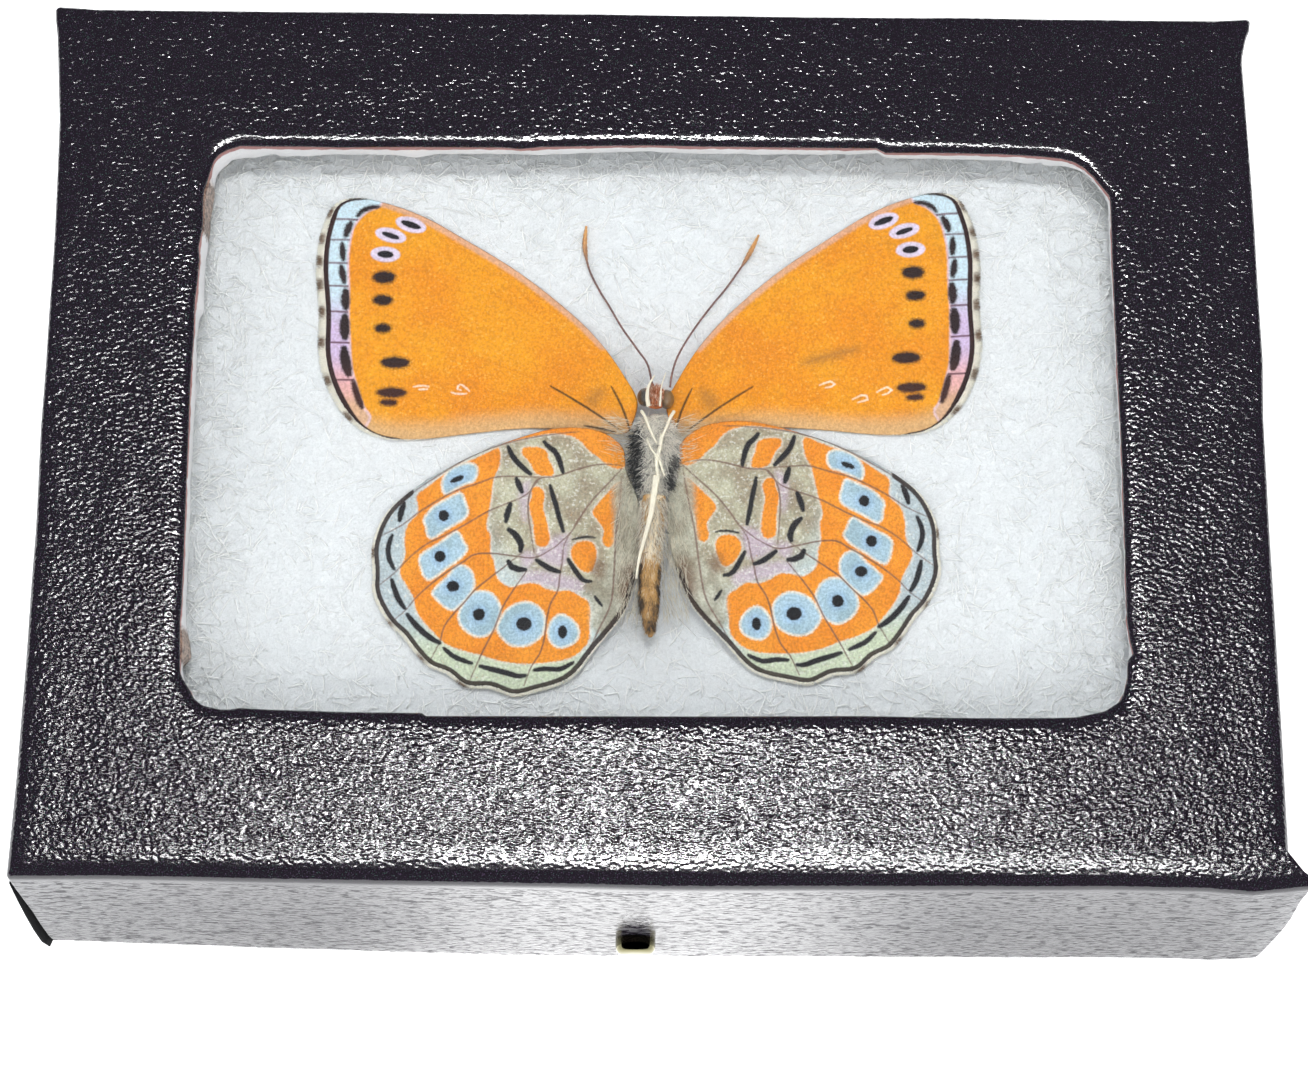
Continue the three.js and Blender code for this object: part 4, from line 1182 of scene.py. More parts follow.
def line_distance(points, line, halves=None):
    """Distance to a line, less the half width that it has there."""
    best = np.full(len(points), np.inf)
    halves = np.zeros(len(line)) if halves is None else halves
    for a, b, wide, next_wide in zip(line, line[1:], halves, halves[1:]):
        step = b - a
        share = np.clip((points - a) @ step / max(step @ step, 1e-12), 0, 1)
        gap = np.linalg.norm(points - a - share[:, None] * step, axis=1)
        best = np.minimum(best, gap - (wide + (next_wide - wide) * share))
    return best


class Marks:
    """Distances in mm from each point to one kind of mark. Inside a mark they are below zero."""

    def __init__(self, points):
        self.points = points
        self.distance = np.full(len(points), FAR)

    def lower(self, shape, measure):
        low, high = shape.min(0) - FAR, shape.max(0) + FAR
        near = np.flatnonzero(np.all((self.points > low) & (self.points < high), axis=1))
        if len(near):
            found = measure(self.points[near])
            self.distance[near] = np.minimum(self.distance[near], found)

    def stroke(self, line, width=0.0, taper=0.35):
        line = np.asarray(line, float)
        count = max(4, int(np.linalg.norm(np.diff(line, axis=0), axis=1).sum() / 0.3))
        line = smooth_curve(line, count)
        swell = 1 - taper * np.abs(np.linspace(-1, 1, count)) ** 3
        self.lower(line, lambda p: line_distance(p, line, width / 2 * swell))

    def patch(self, outline):
        outline = np.asarray(outline, float)
        around = np.linalg.norm(np.diff(outline, axis=0), axis=1).sum()
        outline = smooth_curve(outline, max(24, int(around / 0.25)), closed=True)
        ring = np.concatenate([outline, outline[:1]])

        def measure(points):
            inside = np.zeros(len(points), bool)
            for a, b in zip(ring, ring[1:]):
                crosses = (a[1] > points[:, 1]) != (b[1] > points[:, 1])
                rise = b[1] - a[1] if b[1] != a[1] else 1e-9
                inside ^= crosses & (points[:, 0] < a[0] + (points[:, 1] - a[1]) * (
                    b[0] - a[0]) / rise)
            gap = line_distance(points, ring)
            return np.where(inside, -gap, gap)

        self.lower(outline, measure)

    def oval(self, centre, size, tilt=0.0):
        centre, half = np.array(centre), np.array(size) / 2
        angle = math.radians(tilt)

        def measure(points):
            gap = points - centre
            turned = np.column_stack([
                gap[:, 0] * math.cos(angle) + gap[:, 1] * math.sin(angle),
                gap[:, 1] * math.cos(angle) - gap[:, 0] * math.sin(angle)])
            near = np.linalg.norm(turned / half, axis=1)
            slope = np.linalg.norm(turned / half ** 2, axis=1)
            return near * (near - 1) / np.maximum(slope, 1e-6)

        self.lower(np.array([centre - max(half), centre + max(half)]), measure)


def drawn(points, strokes=(), patches=(), ovals=()):
    """Distances to a set of marks: strokes with widths, patches, and ovals with sizes."""
    marks = Marks(points)
    for width, line in strokes:
        marks.stroke(line, width)
    for outline in patches:
        marks.patch(outline)
    for oval in ovals:
        marks.oval(*oval)
    return marks.distance


def thin(lines, width=0.0):
    """Lines that all have one width."""
    return [(width, line) for line in lines]


def unlaid(kind, places):
    """Places on a right-hand wing as it lies, brought back to the wing as it is drawn."""
    base, turn, shift = TURNS[kind]
    gap = np.asarray(places, float) - base - shift
    cos, sin = math.cos(turn), math.sin(turn)
    return np.column_stack([gap[:, 0] * cos + gap[:, 1] * sin,
                            gap[:, 1] * cos - gap[:, 0] * sin]) + base


def laid(kind, side, places):
    """Where places on a drawn wing lie: out from the midline, and along the body."""
    base, turn, shift = TURNS[kind]
    gap = np.asarray(places, float) - base
    cos, sin = (math.cos(turn), math.sin(turn)) if side > 0 else (1, 0)
    moved = np.column_stack([gap[:, 0] * cos - gap[:, 1] * sin,
                             gap[:, 0] * sin + gap[:, 1] * cos]) + base
    return moved + (shift if side > 0 else (0, 0))


def wing_height(kind, lying):
    """The height of a wing's middle, which dips towards the body."""
    out, y = lying[:, 0], lying[:, 1]
    if kind == "forewing":
        reach = np.hypot(out - TURNS[kind][0][0], y - TURNS[kind][0][1])
        return 14.66 - 1.5 * np.exp(-((reach / 5) ** 2))
    return 14.8 - 1.5 * np.exp(-((out / 2.6) ** 2))


def in_box(kind, side, places, level):
    """Places in the box, in mm, of points on a drawn wing at a level above its middle."""
    lying = laid(kind, side, places)
    return np.column_stack([MIDLINE + side * lying[:, 0], lying[:, 1] + BUTTERFLY_Y,
                            wing_height(kind, lying) + level])


def forewing_marks(points, side, rim, outline):
    """What is painted on a forewing's scales, as distances that its material reads."""
    scuffs = [[(16.0, 4.72), (16.55, 4.8), (17.1, 4.7)], [(16.1, 4.52), (16.7, 4.5)],
              [(13.1, 4.4), (13.5, 4.75), (13.75, 4.9)], [(13.3, 4.2), (13.9, 4.15), (14.4, 4.3)],
              [(13.75, 4.9), (14.0, 4.6), (13.7, 4.45)]]
    smudge = [((4.1, 4.3), (1.7, 1.0), 125)]
    if side > 0:
        right = unlaid("forewing", [(12.0, 5.0), (12.9, 5.3), (13.1, 5.0), (12.4, 4.8),
                                    (14.3, 3.9), (15.2, 4.3), (15.5, 4.0), (14.7, 3.7),
                                    (16.1, 4.5), (16.9, 4.9), (17.2, 4.6), (16.5, 4.3)])
        scuffs = [right[i:i + 4].tolist() for i in (0, 4, 8)]
        middle = unlaid("forewing", [(12.85, 7.3)])[0]
        smudge.append((tuple(middle), (4.2, 0.75), 14))
    return {
        "rim": rim - FOREWING_RIM * np.clip((points[:, 1] - 0.2) / 3.4, 0.3, 1) * np.clip(
            (20.5 - points[:, 1]) / 2.5, 0.3, 1) + 0.6 * np.clip(
            (np.where(points[:, 1] > 10, 21.3, 18.3) - points[:, 0]) / 2.6, 0, 1),
        "along": points[:, 1],
        "inner": drawn(points, thin([FOREWING_INNER_MARGIN])),
        "costa": drawn(points, [(0.75, [(20.6, 19.25), (18.6, 18.7), (16.6, 17.85), (13.6, 16.1),
                                        (9.6, 13.45), (5.6, 10.1), (3.6, 8)])]),
        "vein": drawn(points, thin(FOREWING_VEINS, 0.1)),
        "root_vein": drawn(points, thin(FOREWING_ROOT_VEINS, 0.17)),
        "band": drawn(points, patches=[FOREWING_BAND]),
        "dash": drawn(points, FOREWING_DASHES),
        "spot": drawn(points, ovals=[
            ((19.4, 13.2), (1.7, 1.05)), ((19.45, 11.4), (1.5, 0.9)), ((19.4, 9.2), (1.25, 0.8)),
            ((18.45, 6.55), (2.15, 0.95)), ((18.65, 4.25), (2.2, 0.85)),
            ((18.85, 3.5), (1.35, 0.6))]),
        "pupil": drawn(points, ovals=[
            ((17.55, 17.35), (1.55, 0.5), 20), ((19.0, 16.48), (1.4, 0.42), 18),
            ((19.35, 15.0), (1.2, 0.58), 4)]),
        "halo": drawn(points, ovals=[
            ((17.55, 17.35), (2.3, 1.15), 18), ((19.0, 16.5), (2.3, 1.1), 14),
            ((19.35, 15.0), (2.15, 1.2), 3)]),
        "scuff": drawn(points, thin(scuffs, 0.14)),
        "smudge": drawn(points, ovals=smudge),
    }


def hindwing_marks(points, side, rim, outline):
    """What is painted on a hindwing's scales, as distances that its material reads."""
    lilac = [[(5.95, -6.4), (8.2, -7.6), (8.0, -8.2), (7.0, -8.8), (6.25, -8.8), (5.95, -7.8)],
             [(9.25, -7.9), (9.0, -9.0), (8.3, -8.4), (8.45, -7.8)],
             [(6.5, -9.4), (9.0, -9.3), (9.2, -10.1), (6.9, -10.4), (5.1, -10.7), (4.9, -10)],
             [(8.7, -2.4), (9.4, -3.0), (9.0, -5.6), (8.75, -3.6)]]
    anal = [(2.6, -2.3), (0.9, -2), (0.2, -8), (1.0, -11), (1.9, -12.8), (3.0, -13.8),
            (4.2, -13.4), (4.3, -11.6), (4.3, -10), (3.6, -9.3), (2.9, -8), (2.7, -6)]
    margin = outline[(outline[:, 1] < -3.2) & ((outline[:, 0] > 3.2) | (outline[:, 1] < -9))]
    order = np.argsort(np.arctan2(margin[:, 1] + 8, margin[:, 0] - 10) % (2 * math.pi))
    margin = margin[order]
    start = int(np.argmax(np.linalg.norm(np.roll(margin, 1, 0) - margin, axis=1)))
    margin = np.roll(margin, -start, 0)[::3]
    return {
        "rim": np.clip(line_distance(points, margin), 0, 6),
        "across": points[:, 0],
        "outer": np.linalg.norm((points - (3.5, -3.5)) * (1.0, 1.15), axis=1),
        "along": points[:, 1],
        "orange": drawn(points, patches=[HINDWING_RING, *HINDWING_ORANGE]),
        "ocellus": drawn(points, patches=HINDWING_OCELLI),
        "pupil": drawn(points, ovals=[
            ((13.85, -2.35), (1.05, 0.42), -25), ((14.75, -5.1), (0.75, 0.85)),
            ((14.95, -8.15), (0.8, 0.85)), ((14.0, -10.35), (0.9, 0.8)),
            ((12.15, -12.4), (0.85, 0.9)), ((9.0, -13.1), (1.1, 1.0)),
            ((6.3, -13.65), (0.65, 0.95))]),
        "line": drawn(points, HINDWING_LINES),
        "vein": drawn(points, thin(HINDWING_VEINS, 0.13)),
        "lilac": drawn(points, patches=lilac),
        "anal": drawn(points, patches=[anal]),
        "stain": drawn(points, ovals=[((1.75, -9.7), (1.1, 3.0), 10), ((3.9, -8.9), (0.9, 1.2))]),
    }


def build_wing(name, kind, side, outline, heart, marks, wings, material):
    """A thin closed wing, finely meshed above so that its marks keep crisp edges."""
    heart = np.array(heart)
    coarse = 1
    edge = smooth_curve(outline, wings.columns // coarse, closed=True)[:, :2]
    shares = np.linspace(0, 1, wings.rings // coarse + 1)
    rows = []
    for share in shares:
        lift = WING / 2 * min(1, (1 - share) * 30) ** 0.5
        rows.append(at_height(heart + (edge - heart) * share, lift))
    for share in (0.99, 0.93, 0.6, 0.0):
        lift = WING / 2 * min(1, (1 - share) * 30) ** 0.5
        rows.append(at_height(heart + (edge - heart) * share, -lift))
    mesh = to_mesh(sheet_of(rows))
    places = points_of(mesh)
    points, level = places[:, :2], places[:, 2]
    rim = line_distance(points, np.concatenate([edge[::2], edge[:1]]))
    painted = marks(points, side, rim, edge)
    for key, values in painted.items():
        store(mesh, key, values)
    ridge = 0.018 * np.exp(-((painted["vein"] / 0.12) ** 2))
    sway = 0.025 * np.sin(points[:, 0] * 0.9 + points[:, 1] * 0.5 + side) * np.clip(rim, 0, 1)
    top = np.where(level > 0, ridge * (level / (WING / 2)), 0)
    moved = in_box(kind, side, points, level + top + sway)
    place_points(mesh, moved)
    if side < 0:
        mesh.flip_normals()
    return finish(name, mesh, material, name)


def build_fringe(name, kind, side, outline, tufts, share, material):
    """The hairs round a wing's outer edge: cream at the root, and brown at the tufts' tips."""
    rng = np.random.default_rng(31 if side > 0 else 47)
    dense = smooth_curve(outline, 6000, closed=True)
    dense[:, 2] *= share
    width = np.clip(dense[:, 2], 0, None)
    chosen = rng.choice(len(dense), 2600, p=width / width.sum())
    roots = dense[chosen]
    normals = outward(dense[:, :2])[chosen]
    lean = rng.normal(0, 0.22, len(chosen))
    cos, sin = np.cos(lean)[:, None], np.sin(lean)[:, None]
    aim = normals * cos + np.column_stack([-normals[:, 1], normals[:, 0]]) * sin
    length = roots[:, 2] * rng.uniform(0.7, 1.05, len(chosen))
    shares = np.linspace(0, 1, HAIR_STEPS)
    flat = roots[:, None, :2] + aim[:, None] * (length[:, None] * shares - 0.06)[..., None]
    droop = rng.normal(0, 0.03, len(chosen))
    paths = np.empty((len(chosen), HAIR_STEPS, 3))
    for s in range(HAIR_STEPS):
        level = -0.02 + 0.04 * rng.random(len(chosen)) + droop * shares[s]
        paths[:, s] = in_box(kind, side, flat[:, s], 0)
        paths[:, s, 2] += level
    radii = np.outer(rng.uniform(0.016, 0.028, len(chosen)), (1.0, 1.0, 0.8, 0.3))
    nearest = np.min(np.linalg.norm(roots[:, None, :2] - np.array(tufts)[None], axis=2), axis=1)
    brown = np.clip(1.5 - nearest / 0.44, 0, 1)
    tone = 0.96 - brown[:, None] * np.clip((shares + 0.1) / 0.5, 0, 1)[None] * 0.8
    tone = tone + rng.normal(0, 0.06, (len(chosen), 1))
    mesh = strands(paths, radii, flat=0.5)
    store(mesh, "tone", np.repeat(tone.ravel(), 3))
    if side < 0:
        mesh.flip_normals()
    return finish(name, mesh, material, None)


# Body


def fur(paths_from, count, seed, length, radius, tone_of, spread=0.35, rise=0.35):
    """Short hairs that start on given places and lie along given directions."""
    rng = np.random.default_rng(seed)
    roots, aims = paths_from(rng, count)
    aims = aims + rng.normal(0, spread, aims.shape)
    aims[:, 2] += rise * rng.random(count)
    aims /= np.linalg.norm(aims, axis=1)[:, None]
    long = rng.uniform(*length, count)[:, None]
    paths = np.stack([roots + aims * long * s - np.array((0, 0, 0.25)) * long * s * s * 0.6
                      for s in np.linspace(0, 1, HAIR_STEPS)], 1)
    paths[..., 2] = np.minimum(paths[..., 2], UNDER_GLASS)
    radii = np.outer(rng.uniform(radius * 0.7, radius * 1.3, count), (1, 0.95, 0.7, 0.25))
    mesh = strands(paths, radii)
    tone = tone_of(roots, rng)[:, None] + np.zeros((1, HAIR_STEPS))
    store(mesh, "tone", np.repeat(tone.ravel(), 3))
    return mesh


def thorax_tone(places):
    """Dark on the left flank and low on the right, and grey-white elsewhere."""
    x, y = places[:, 0], places[:, 1]
    left = np.exp(-((x + 1.35) / 0.42) ** 4 - ((y + 0.7) / 2.7) ** 6)
    right = np.exp(-((x - 0.85) / 0.35) ** 2 - ((y + 2.3) / 1.0) ** 2)
    right2 = np.exp(-((x - 1.15) / 0.3) ** 2 - ((y + 0.9) / 0.6) ** 2)
    patch = np.sin(x * 5.1 + y * 2.3) * np.sin(y * 4.3 - x * 2.9 + 1.0)
    return 0.84 + 0.14 * patch - 0.95 * np.clip(left + right + 0.8 * right2, 0, 1)


def abdomen_tone(places):
    """Cream above, brown down the sides, and banded dark towards the tip."""
    x, y = places[:, 0], places[:, 1]
    middle = -0.2 - 0.055 * (-y - 3.25)
    side = np.clip(np.abs(x - middle - 0.05) / 0.75, 0, 1) ** 1.8
    bands = 0.5 + 0.5 * np.sin((y + 3.25) * 4.2 + 1.2 * x)
    streak = 0.5 + 0.5 * np.sin(x * 9 + 1.5 * np.sin(y * 1.7))
    back = np.clip((-y - 7.6) / 1.6, 0, 1)
    return 0.95 - 0.5 * side - back * (0.24 + 0.22 * bands + 0.2 * streak) - 0.2 * np.clip(
        (-y - 11) / 2, 0, 1)


def shift_butterfly(places):
    return np.asarray(places, float) + (0, BUTTERFLY_Y, 0)


def rod_piece(name, path, radius, material, sides, count, tone=None):
    """A limb or antenna along a path. Where the frame has a node of its name, it replaces it."""
    mesh = to_mesh(tube(shift_butterfly(path), radius, 1.0, sides, count))
    places = points_of(mesh)
    store(mesh, "tone", tone(places) if tone else np.full(len(places), 0.85))
    return finish(name, mesh, material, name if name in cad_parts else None)


def bead(t, power):
    return max(1 - abs(2 * t - 1) ** power, 0.02) ** 0.5


def build_thorax(material):
    """A rounded core under thick grey fur."""
    path = shift_butterfly([(-0.1, 3.1, 13.62), (-0.1, 0, 13.55), (-0.15, -3.1, 13.6)])
    mesh = to_mesh(tube(path, lambda t: 1.62 * bead(t, 2.4), 0.6, 44, 70, 0.025, 3))
    store(mesh, "tone", thorax_tone(points_of(mesh)) * 0.8)
    finish("thorax_core", mesh, material, "thorax")

    def start(rng, count):
        t = rng.uniform(0.02, 0.98, count)
        angle = rng.uniform(-0.35, math.pi + 0.35, count)
        size = np.array([1.6 * bead(v, 2.4) for v in t])
        y = 3.1 - 6.2 * t + BUTTERFLY_Y
        roots = np.column_stack([-0.1 + size * np.cos(angle), y,
                                 13.58 + 0.6 * size * np.sin(angle)])
        aims = np.column_stack([0.55 * np.cos(angle), -0.85 + 0.0 * t, 0.3 * np.sin(angle)])
        return roots, aims

    mesh = fur(start, 3800, 61, (0.35, 0.95), 0.026,
               lambda roots, rng: thorax_tone(roots) + rng.normal(0, 0.22, len(roots)), 0.5, 0.5)
    finish("thorax_fur", mesh, material, None)


def build_abdomen(material, hairs):
    """A ringed, tapering core with flat scales all over and longer hairs in front."""
    def radius(t):
        taper = 0.84 * (1 - 0.2 * t) * min(1, (1.02 - t) * 4) ** 0.6
        return taper * (0.95 + 0.05 * abs(math.sin(t * 8 * math.pi)))

    path = shift_butterfly([(-0.2, -3.25, 13.95), (-0.45, -7, 14), (-0.58, -10.5, 14.1),
                            (-0.5, -13.8, 14.2)])
    mesh = to_mesh(tube(path, radius, 0.62, 40, 150, 0.01, 5))
    store(mesh, "tone", abdomen_tone(points_of(mesh)))
    finish("abdomen_core", mesh, material, "abdomen")
    curve = smooth_curve(path, 200)

    def start(rng, count):
        t = rng.uniform(0.02, 0.97, count)
        angle = rng.uniform(-0.2, math.pi + 0.2, count)
        size = np.array([radius(v) for v in t]) * 0.98
        centre = curve[(t * 199).astype(int)]
        roots = centre + np.column_stack([size * np.cos(angle), np.zeros(count),
                                          0.62 * size * np.sin(angle)])
        aims = np.column_stack([0.25 * np.cos(angle), -1 + 0 * t, 0.12 * np.sin(angle)])
        return roots, aims

    mesh = fur(start, 2400, 67, (0.18, 0.4), 0.016,
               lambda roots, rng: abdomen_tone(roots) + rng.normal(0, 0.2, len(roots)), 0.2, 0.15)
    finish("abdomen_scales", mesh, material, None)

    def start_high(rng, count):
        roots, aims = start(rng, count * 5)
        high = roots[:, 1] > -8.6 + 1.2 * rng.random(len(roots))
        return roots[high][:count], aims[high][:count]

    mesh = fur(start_high, 900, 69, (0.4, 0.9), 0.02,
               lambda roots, rng: np.clip(rng.normal(0.7, 0.25, len(roots)), 0.1, 1), 0.3, 0.25)
    finish("abdomen_hairs", mesh, hairs, None)


def ball(centre, size):
    bm = bmesh.new()
    bmesh.ops.create_uvsphere(bm, u_segments=36, v_segments=22, radius=1)
    bmesh.ops.scale(bm, vec=size, verts=bm.verts)
    bmesh.ops.translate(bm, vec=centre, verts=bm.verts)
    return to_mesh(bm)


def build_head(eye_material, fur_material):
    """Two dark eyes with a face of orange-brown and cream scales between them."""
    skull = ball((-0.1, 4.2 + BUTTERFLY_Y, 14.05), (0.95, 0.8, 0.66))
    store(skull, "tone", np.full(len(skull.vertices), 0.35))
    finish("head_face", skull, fur_material, "head")
    eyes = join([ball((-0.88, 4.25 + BUTTERFLY_Y, 14.1), (0.55, 0.66, 0.66)),
                 ball((0.68, 4.1 + BUTTERFLY_Y, 14.1), (0.55, 0.7, 0.66))])
    finish("eyes", eyes, eye_material, "head")

    def start(rng, count):
        angle = rng.uniform(0, 2 * math.pi, count)
        reach = rng.uniform(0, 1, count) ** 0.5
        x, y = -0.15 + 0.55 * reach * np.cos(angle), 4.0 + 0.75 * reach * np.sin(angle)
        z = 14.05 + 0.64 * np.sqrt(np.clip(1 - ((x + 0.1) / 0.95) ** 2 - (
            (y - 4.05) / 0.8) ** 2, 0.02, 1))
        return np.column_stack([x, y, z]), np.column_stack([0.3 * np.cos(angle), 0.6 - 0 * x,
                                                            0.45 + 0 * x])

    mesh = fur(start, 900, 71, (0.2, 0.5), 0.022, lambda roots, rng: rng.uniform(
        0.1, 0.9, len(roots)))
    finish("face_scales", mesh, fur_material, None)


def build_root_hairs(material):
    """Long pale hairs over the wing roots and along the hindwings' inner edges."""
    def start(rng, count):
        side = np.where(rng.random(count) < 0.5, -1, 1)
        along = rng.uniform(-12.0, 2.6, count)
        out = np.where(along > -3, rng.uniform(1.3, 2.9, count), rng.uniform(0.7, 2.5, count))
        y = along + BUTTERFLY_Y
        z = 14.8 - 1.5 * np.exp(-((out / 2.6) ** 2)) + 0.09
        aims = np.column_stack([side * np.where(along > -3, 0.9, 0.22),
                                np.where(along > -1, 0.1, -0.9), 0.1 + 0 * out])
        return np.column_stack([MIDLINE + side * out, y, z]), aims

    mesh = fur(start, 1500, 83, (0.5, 1.5), 0.014, lambda roots, rng: np.clip(
        0.75 + rng.normal(0, 0.15, len(roots)), 0.3, 1), 0.2, 0.2)
    finish("wing_root_hairs", mesh, material, None)


# Stage


def build_stage(stage):
    """A pale floor that glows near the box, a soft studio, and the camera."""
    scene = bpy.context.scene
    scene.view_settings.view_transform = "Standard"
    bm = bmesh.new()
    bmesh.ops.create_grid(bm, x_segments=1, y_segments=1, size=1.5)
    floor = bpy.data.objects.new("floor", to_mesh(bm))
    material, tree, shader, place = new_material(
        "Pale floor", Base_Color=tuple(stage.floor_color), Roughness=0.8,
        Emission_Color=(1, 1, 1), Emission_Strength=stage.floor_glow)
    centre = add(tree, "ShaderNodeVectorMath", {
        0: stretched(tree, place, (1, 0.5, 1)), 1: (-0.0015, -0.018, 0)}, operation="DISTANCE")
    link(tree, shader, Emission_Color=mix(
        tree, fade(tree, centre.outputs["Value"], 0.005, 0.024), (1, 1, 1), (0.36, 0.36, 0.36)))
    floor.data.materials.append(material)
    scene.collection.objects.link(floor)

    world = bpy.data.worlds.new("Studio")
    world.use_nodes = True
    world.node_tree.nodes["Background"].inputs["Color"].default_value = (0.9, 0.95, 1, 1)
    world.node_tree.nodes["Background"].inputs["Strength"].default_value = 0.62
    world.cycles_visibility.glossy = False
    scene.world = world

    def lamp(name, place, size, power, color=(1, 1, 1), matt_only=False):
        data = bpy.data.lights.new(name, "AREA")
        data.energy, data.shape, data.color = power, "RECTANGLE", color
        data.size, data.size_y = size
        lamp_object = bpy.data.objects.new(name, data)
        scene.collection.objects.link(lamp_object)
        lamp_object.visible_glossy = not matt_only
        turn = (Vector(place) - Vector(AIM)).to_track_quat("Z", "Y")
        lamp_object.matrix_world = Matrix.Translation(place) @ turn.to_matrix().to_4x4()

    lamp("overhead_lamp", (0.01, 0.088, 0.52), (0.025, 0.017), stage.lamp_power)
    lamp("overhead_tube", (0.01, 0.088, 0.52), (0.24, 0.012), stage.lamp_power * 1.6)
    lamp("soft_left", (-0.6, -0.1, 0.5), (0.4, 0.4), stage.fill_power, (0.96, 0.98, 1), True)
    lamp("soft_right", (0.6, -0.1, 0.5), (0.4, 0.4), stage.fill_power, (1, 0.99, 0.97), True)
    lamp("soft_front", (0.0, -0.5, 0.42), (0.5, 0.3), stage.fill_power * 2, matt_only=True)

    data = bpy.data.cameras.new("camera")
    data.sensor_fit, data.sensor_width = "HORIZONTAL", 36
    data.lens = stage.focal_length
    data.clip_start, data.clip_end = 0.01, 20
    camera = bpy.data.objects.new("camera", data)
    scene.collection.objects.link(camera)
    turn = Matrix((CAMERA_RIGHT, CAMERA_UP, CAMERA_BACK)).transposed().to_4x4()
    camera.matrix_world = Matrix.Translation(CAMERA_PLACE) @ turn
    scene.camera = camera


# Operators


class SPECIMEN_OT_lid(bpy.types.Operator):
    """Builds the black paper wrap of the lid and the board that shows inside its window"""
    bl_idname = "specimen.lid"
    bl_label = "Lid"

    def execute(self, context):
        lid = context.scene.specimen_lid
        color = tuple(lid.paper_color)
        build_lid_paper(paper_material("Embossed black paper", color, lid.grain, lid.grain_depth))
        build_lid_board(board_material("Cut grey board", tuple(lid.board_color)))
        build_corner_fold(new_material(
            "Dull paper back", Base_Color=(0.004, 0.004, 0.005), Roughness=0.9,
            Specular_IOR_Level=0.1)[0])
        paper = paper_material("Plain black paper", color, lid.grain * 0.7,
                               lid.grain_depth * 0.3, 0.3)
        for name, material in (("tray", paper), ("glass_pane", glass_material())):
            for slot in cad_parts[name].material_slots:
                slot.material = material
        return {"FINISHED"}


class SPECIMEN_OT_pins(bpy.types.Operator):
    """Builds the two pins that hold the lid on the tray"""
    bl_idname = "specimen.pins"
    bl_label = "Pins"

    def execute(self, context):
        steel = steel_material()
        build_pin("front_pin", -1, steel)
        build_pin("back_pin", 1, steel)
        return {"FINISHED"}


class SPECIMEN_OT_batting(bpy.types.Operator):
    """Builds the batting and its loose fibres"""
    bl_idname = "specimen.batting"
    bl_label = "Batting"

    def execute(self, context):
        fill = context.scene.specimen_fill
        build_batting(batting_material(tuple(fill.color)))
        build_fibres(fill, fibre_material(tuple(fill.color)))
        return {"FINISHED"}


class SPECIMEN_OT_wings(bpy.types.Operator):
    """Builds the four wings with their marks, and the fringes round them"""
    bl_idname = "specimen.wings"
    bl_label = "Wings"

    def execute(self, context):
        wings = context.scene.specimen_wings
        fore, hind = forewing_material(wings), hindwing_material(wings)
        fringe = hair_material("Fringe hairs", "6E4E30", "FFFAEC")
        for word, side in (("left", -1), ("right", 1)):
            build_wing(f"forewing_{word}", "forewing", side, FOREWING, FOREWING_HEART,
                       forewing_marks, wings, fore)
            build_wing(f"hindwing_{word}", "hindwing", side, HINDWING, HINDWING_HEART,
                       hindwing_marks, wings, hind)
            build_fringe(f"forewing_fringe_{word}", "forewing", side, FOREWING,
                         FOREWING_TUFTS, 1.0, fringe)
            build_fringe(f"hindwing_fringe_{word}", "hindwing", side, HINDWING,
                         HINDWING_TUFTS, 0.6, fringe)
        return {"FINISHED"}


class SPECIMEN_OT_body(bpy.types.Operator):
    """Builds the thorax, abdomen and head with their hairs"""
    bl_idname = "specimen.body"
    bl_label = "Body"

    def execute(self, context):
        grey_fur = hair_material("Grey body fur", (0.006, 0.005, 0.006), "FBF5EA")
        amber = hair_material("Abdomen scales", "24140B", "EBDCC0", middle="B0854A")
        face = hair_material("Face scales", "5E2408", "F6EBDC", middle="C46A28")
        build_thorax(grey_fur)
        build_abdomen(amber, hair_material("Abdomen hairs", "6E5A48", "F2EBDC"))
        build_head(eye_material(), face)
        build_root_hairs(hair_material("Root hairs", "6E5C4A", "E8DFCB"))
        return {"FINISHED"}


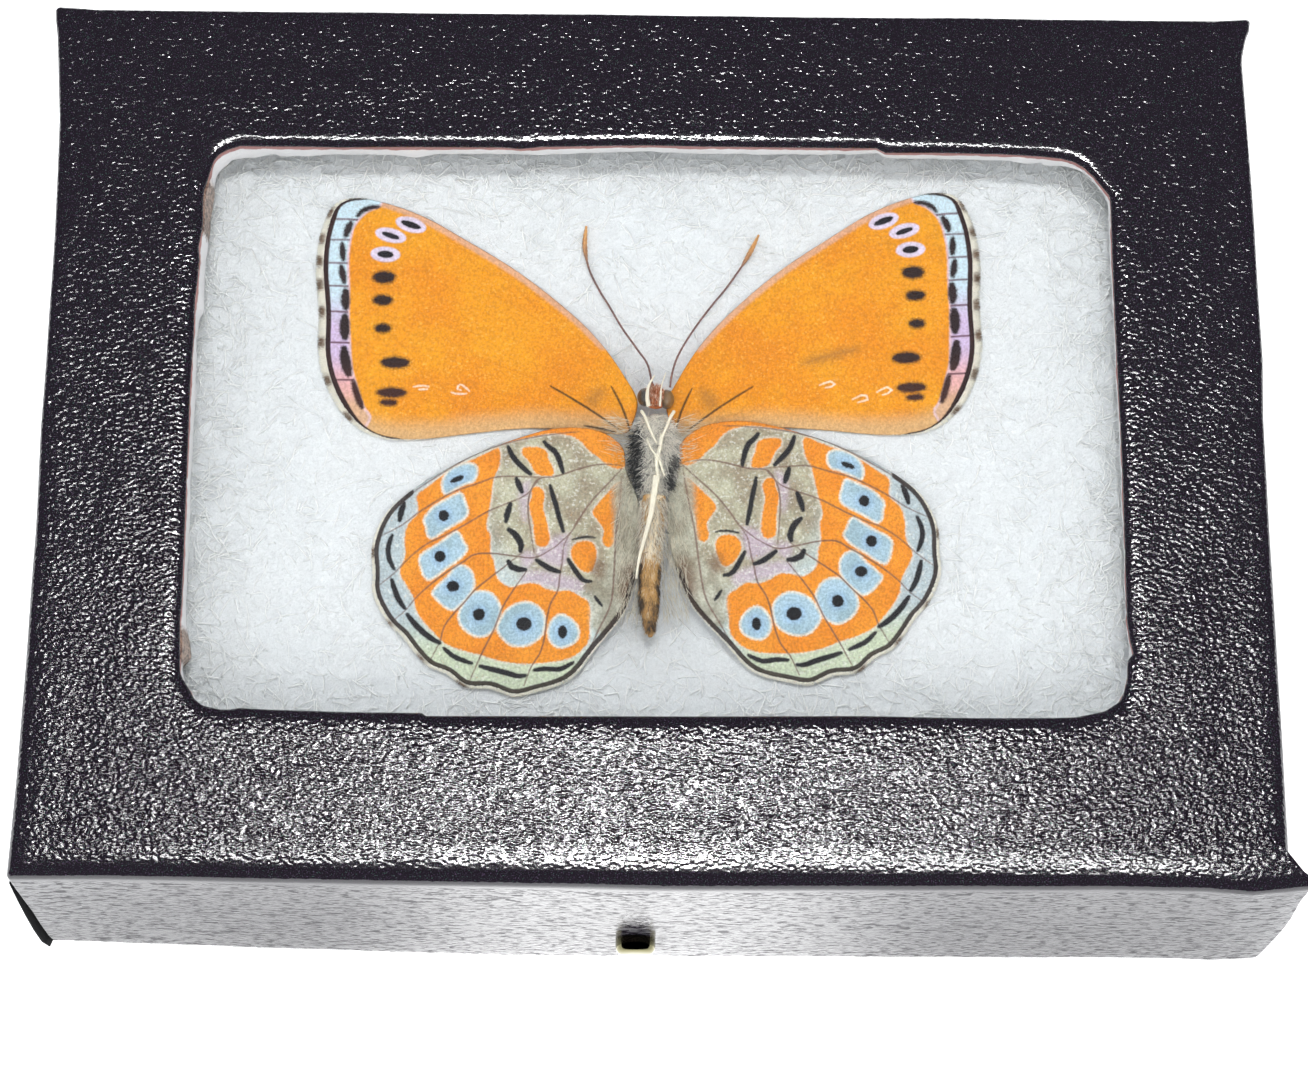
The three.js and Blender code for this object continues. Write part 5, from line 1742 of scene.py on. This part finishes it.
class SPECIMEN_OT_limbs(bpy.types.Operator):
    """Builds the antennae, palps and legs"""
    bl_idname = "specimen.limbs"
    bl_label = "Antennae and legs"

    def execute(self, context):
        horn = hair_material("Antenna horn", "6B4A48", "C98F4E", 0.45)
        cream = hair_material("Cream leg scales", "8E7C60", "F0E9D6", 0.6)

        def antenna_radius(t):
            into = (t - 0.8) / 0.2
            size = 0.075 + (0.1 * math.sin(math.pi * into ** 0.8) if into > 0 else 0)
            return size * (1 + 0.1 * math.sin(t * 260))

        for name, path in ANTENNAE.items():
            tip = np.array(path[-1][:2])
            rod_piece(name, path, antenna_radius, horn, 8, 240,
                      lambda p, tip=tip: np.clip(1.15 - np.linalg.norm(
                          p[:, :2] - tip, axis=1) / 3.4, 0.1, 0.95))
        for name, (path, thick, end) in LEGS.items():
            rod_piece(name, path, lambda t, a=thick, b=end: a + (b - a) * t, cream, 12, 36)
        return {"FINISHED"}


class SPECIMEN_OT_stage(bpy.types.Operator):
    """Builds the floor, the lights and the camera"""
    bl_idname = "specimen.stage"
    bl_label = "Stage"

    def execute(self, context):
        build_stage(context.scene.specimen_stage)
        return {"FINISHED"}


class SPECIMEN_PT_panel(bpy.types.Panel):
    """Lists the specimen's settings and the steps that build it"""
    bl_idname = "SPECIMEN_PT_panel"
    bl_label = "Framed butterfly specimen"
    bl_space_type = "VIEW_3D"
    bl_region_type = "UI"
    bl_category = "Specimen"

    def draw(self, context):
        for name, settings in SETTINGS.items():
            box = self.layout.box()
            box.label(text=settings.__doc__)
            for key in settings.__annotations__:
                box.prop(getattr(context.scene, name), key)
        for step in STEPS:
            self.layout.operator(step.bl_idname)


SETTINGS = {
    "specimen_lid": LidSettings,
    "specimen_fill": FillSettings,
    "specimen_wings": WingSettings,
    "specimen_stage": StageSettings,
}
STEPS = [SPECIMEN_OT_stage, SPECIMEN_OT_lid, SPECIMEN_OT_pins, SPECIMEN_OT_batting,
         SPECIMEN_OT_wings, SPECIMEN_OT_body, SPECIMEN_OT_limbs]


def register():
    for name, settings in SETTINGS.items():
        bpy.utils.register_class(settings)
        setattr(bpy.types.Scene, name, bpy.props.PointerProperty(type=settings))
    for step in STEPS:
        bpy.utils.register_class(step)
    bpy.utils.register_class(SPECIMEN_PT_panel)


def unregister():
    bpy.utils.unregister_class(SPECIMEN_PT_panel)
    for step in reversed(STEPS):
        bpy.utils.unregister_class(step)
    for name, settings in SETTINGS.items():
        delattr(bpy.types.Scene, name)
        bpy.utils.unregister_class(settings)


def main():
    register()
    build_groups()
    bpy.ops.specimen.stage()
    bpy.ops.specimen.lid()
    bpy.ops.specimen.pins()
    bpy.ops.specimen.batting()
    bpy.ops.specimen.wings()
    bpy.ops.specimen.body()
    bpy.ops.specimen.limbs()


if __name__ == "__main__":
    main()
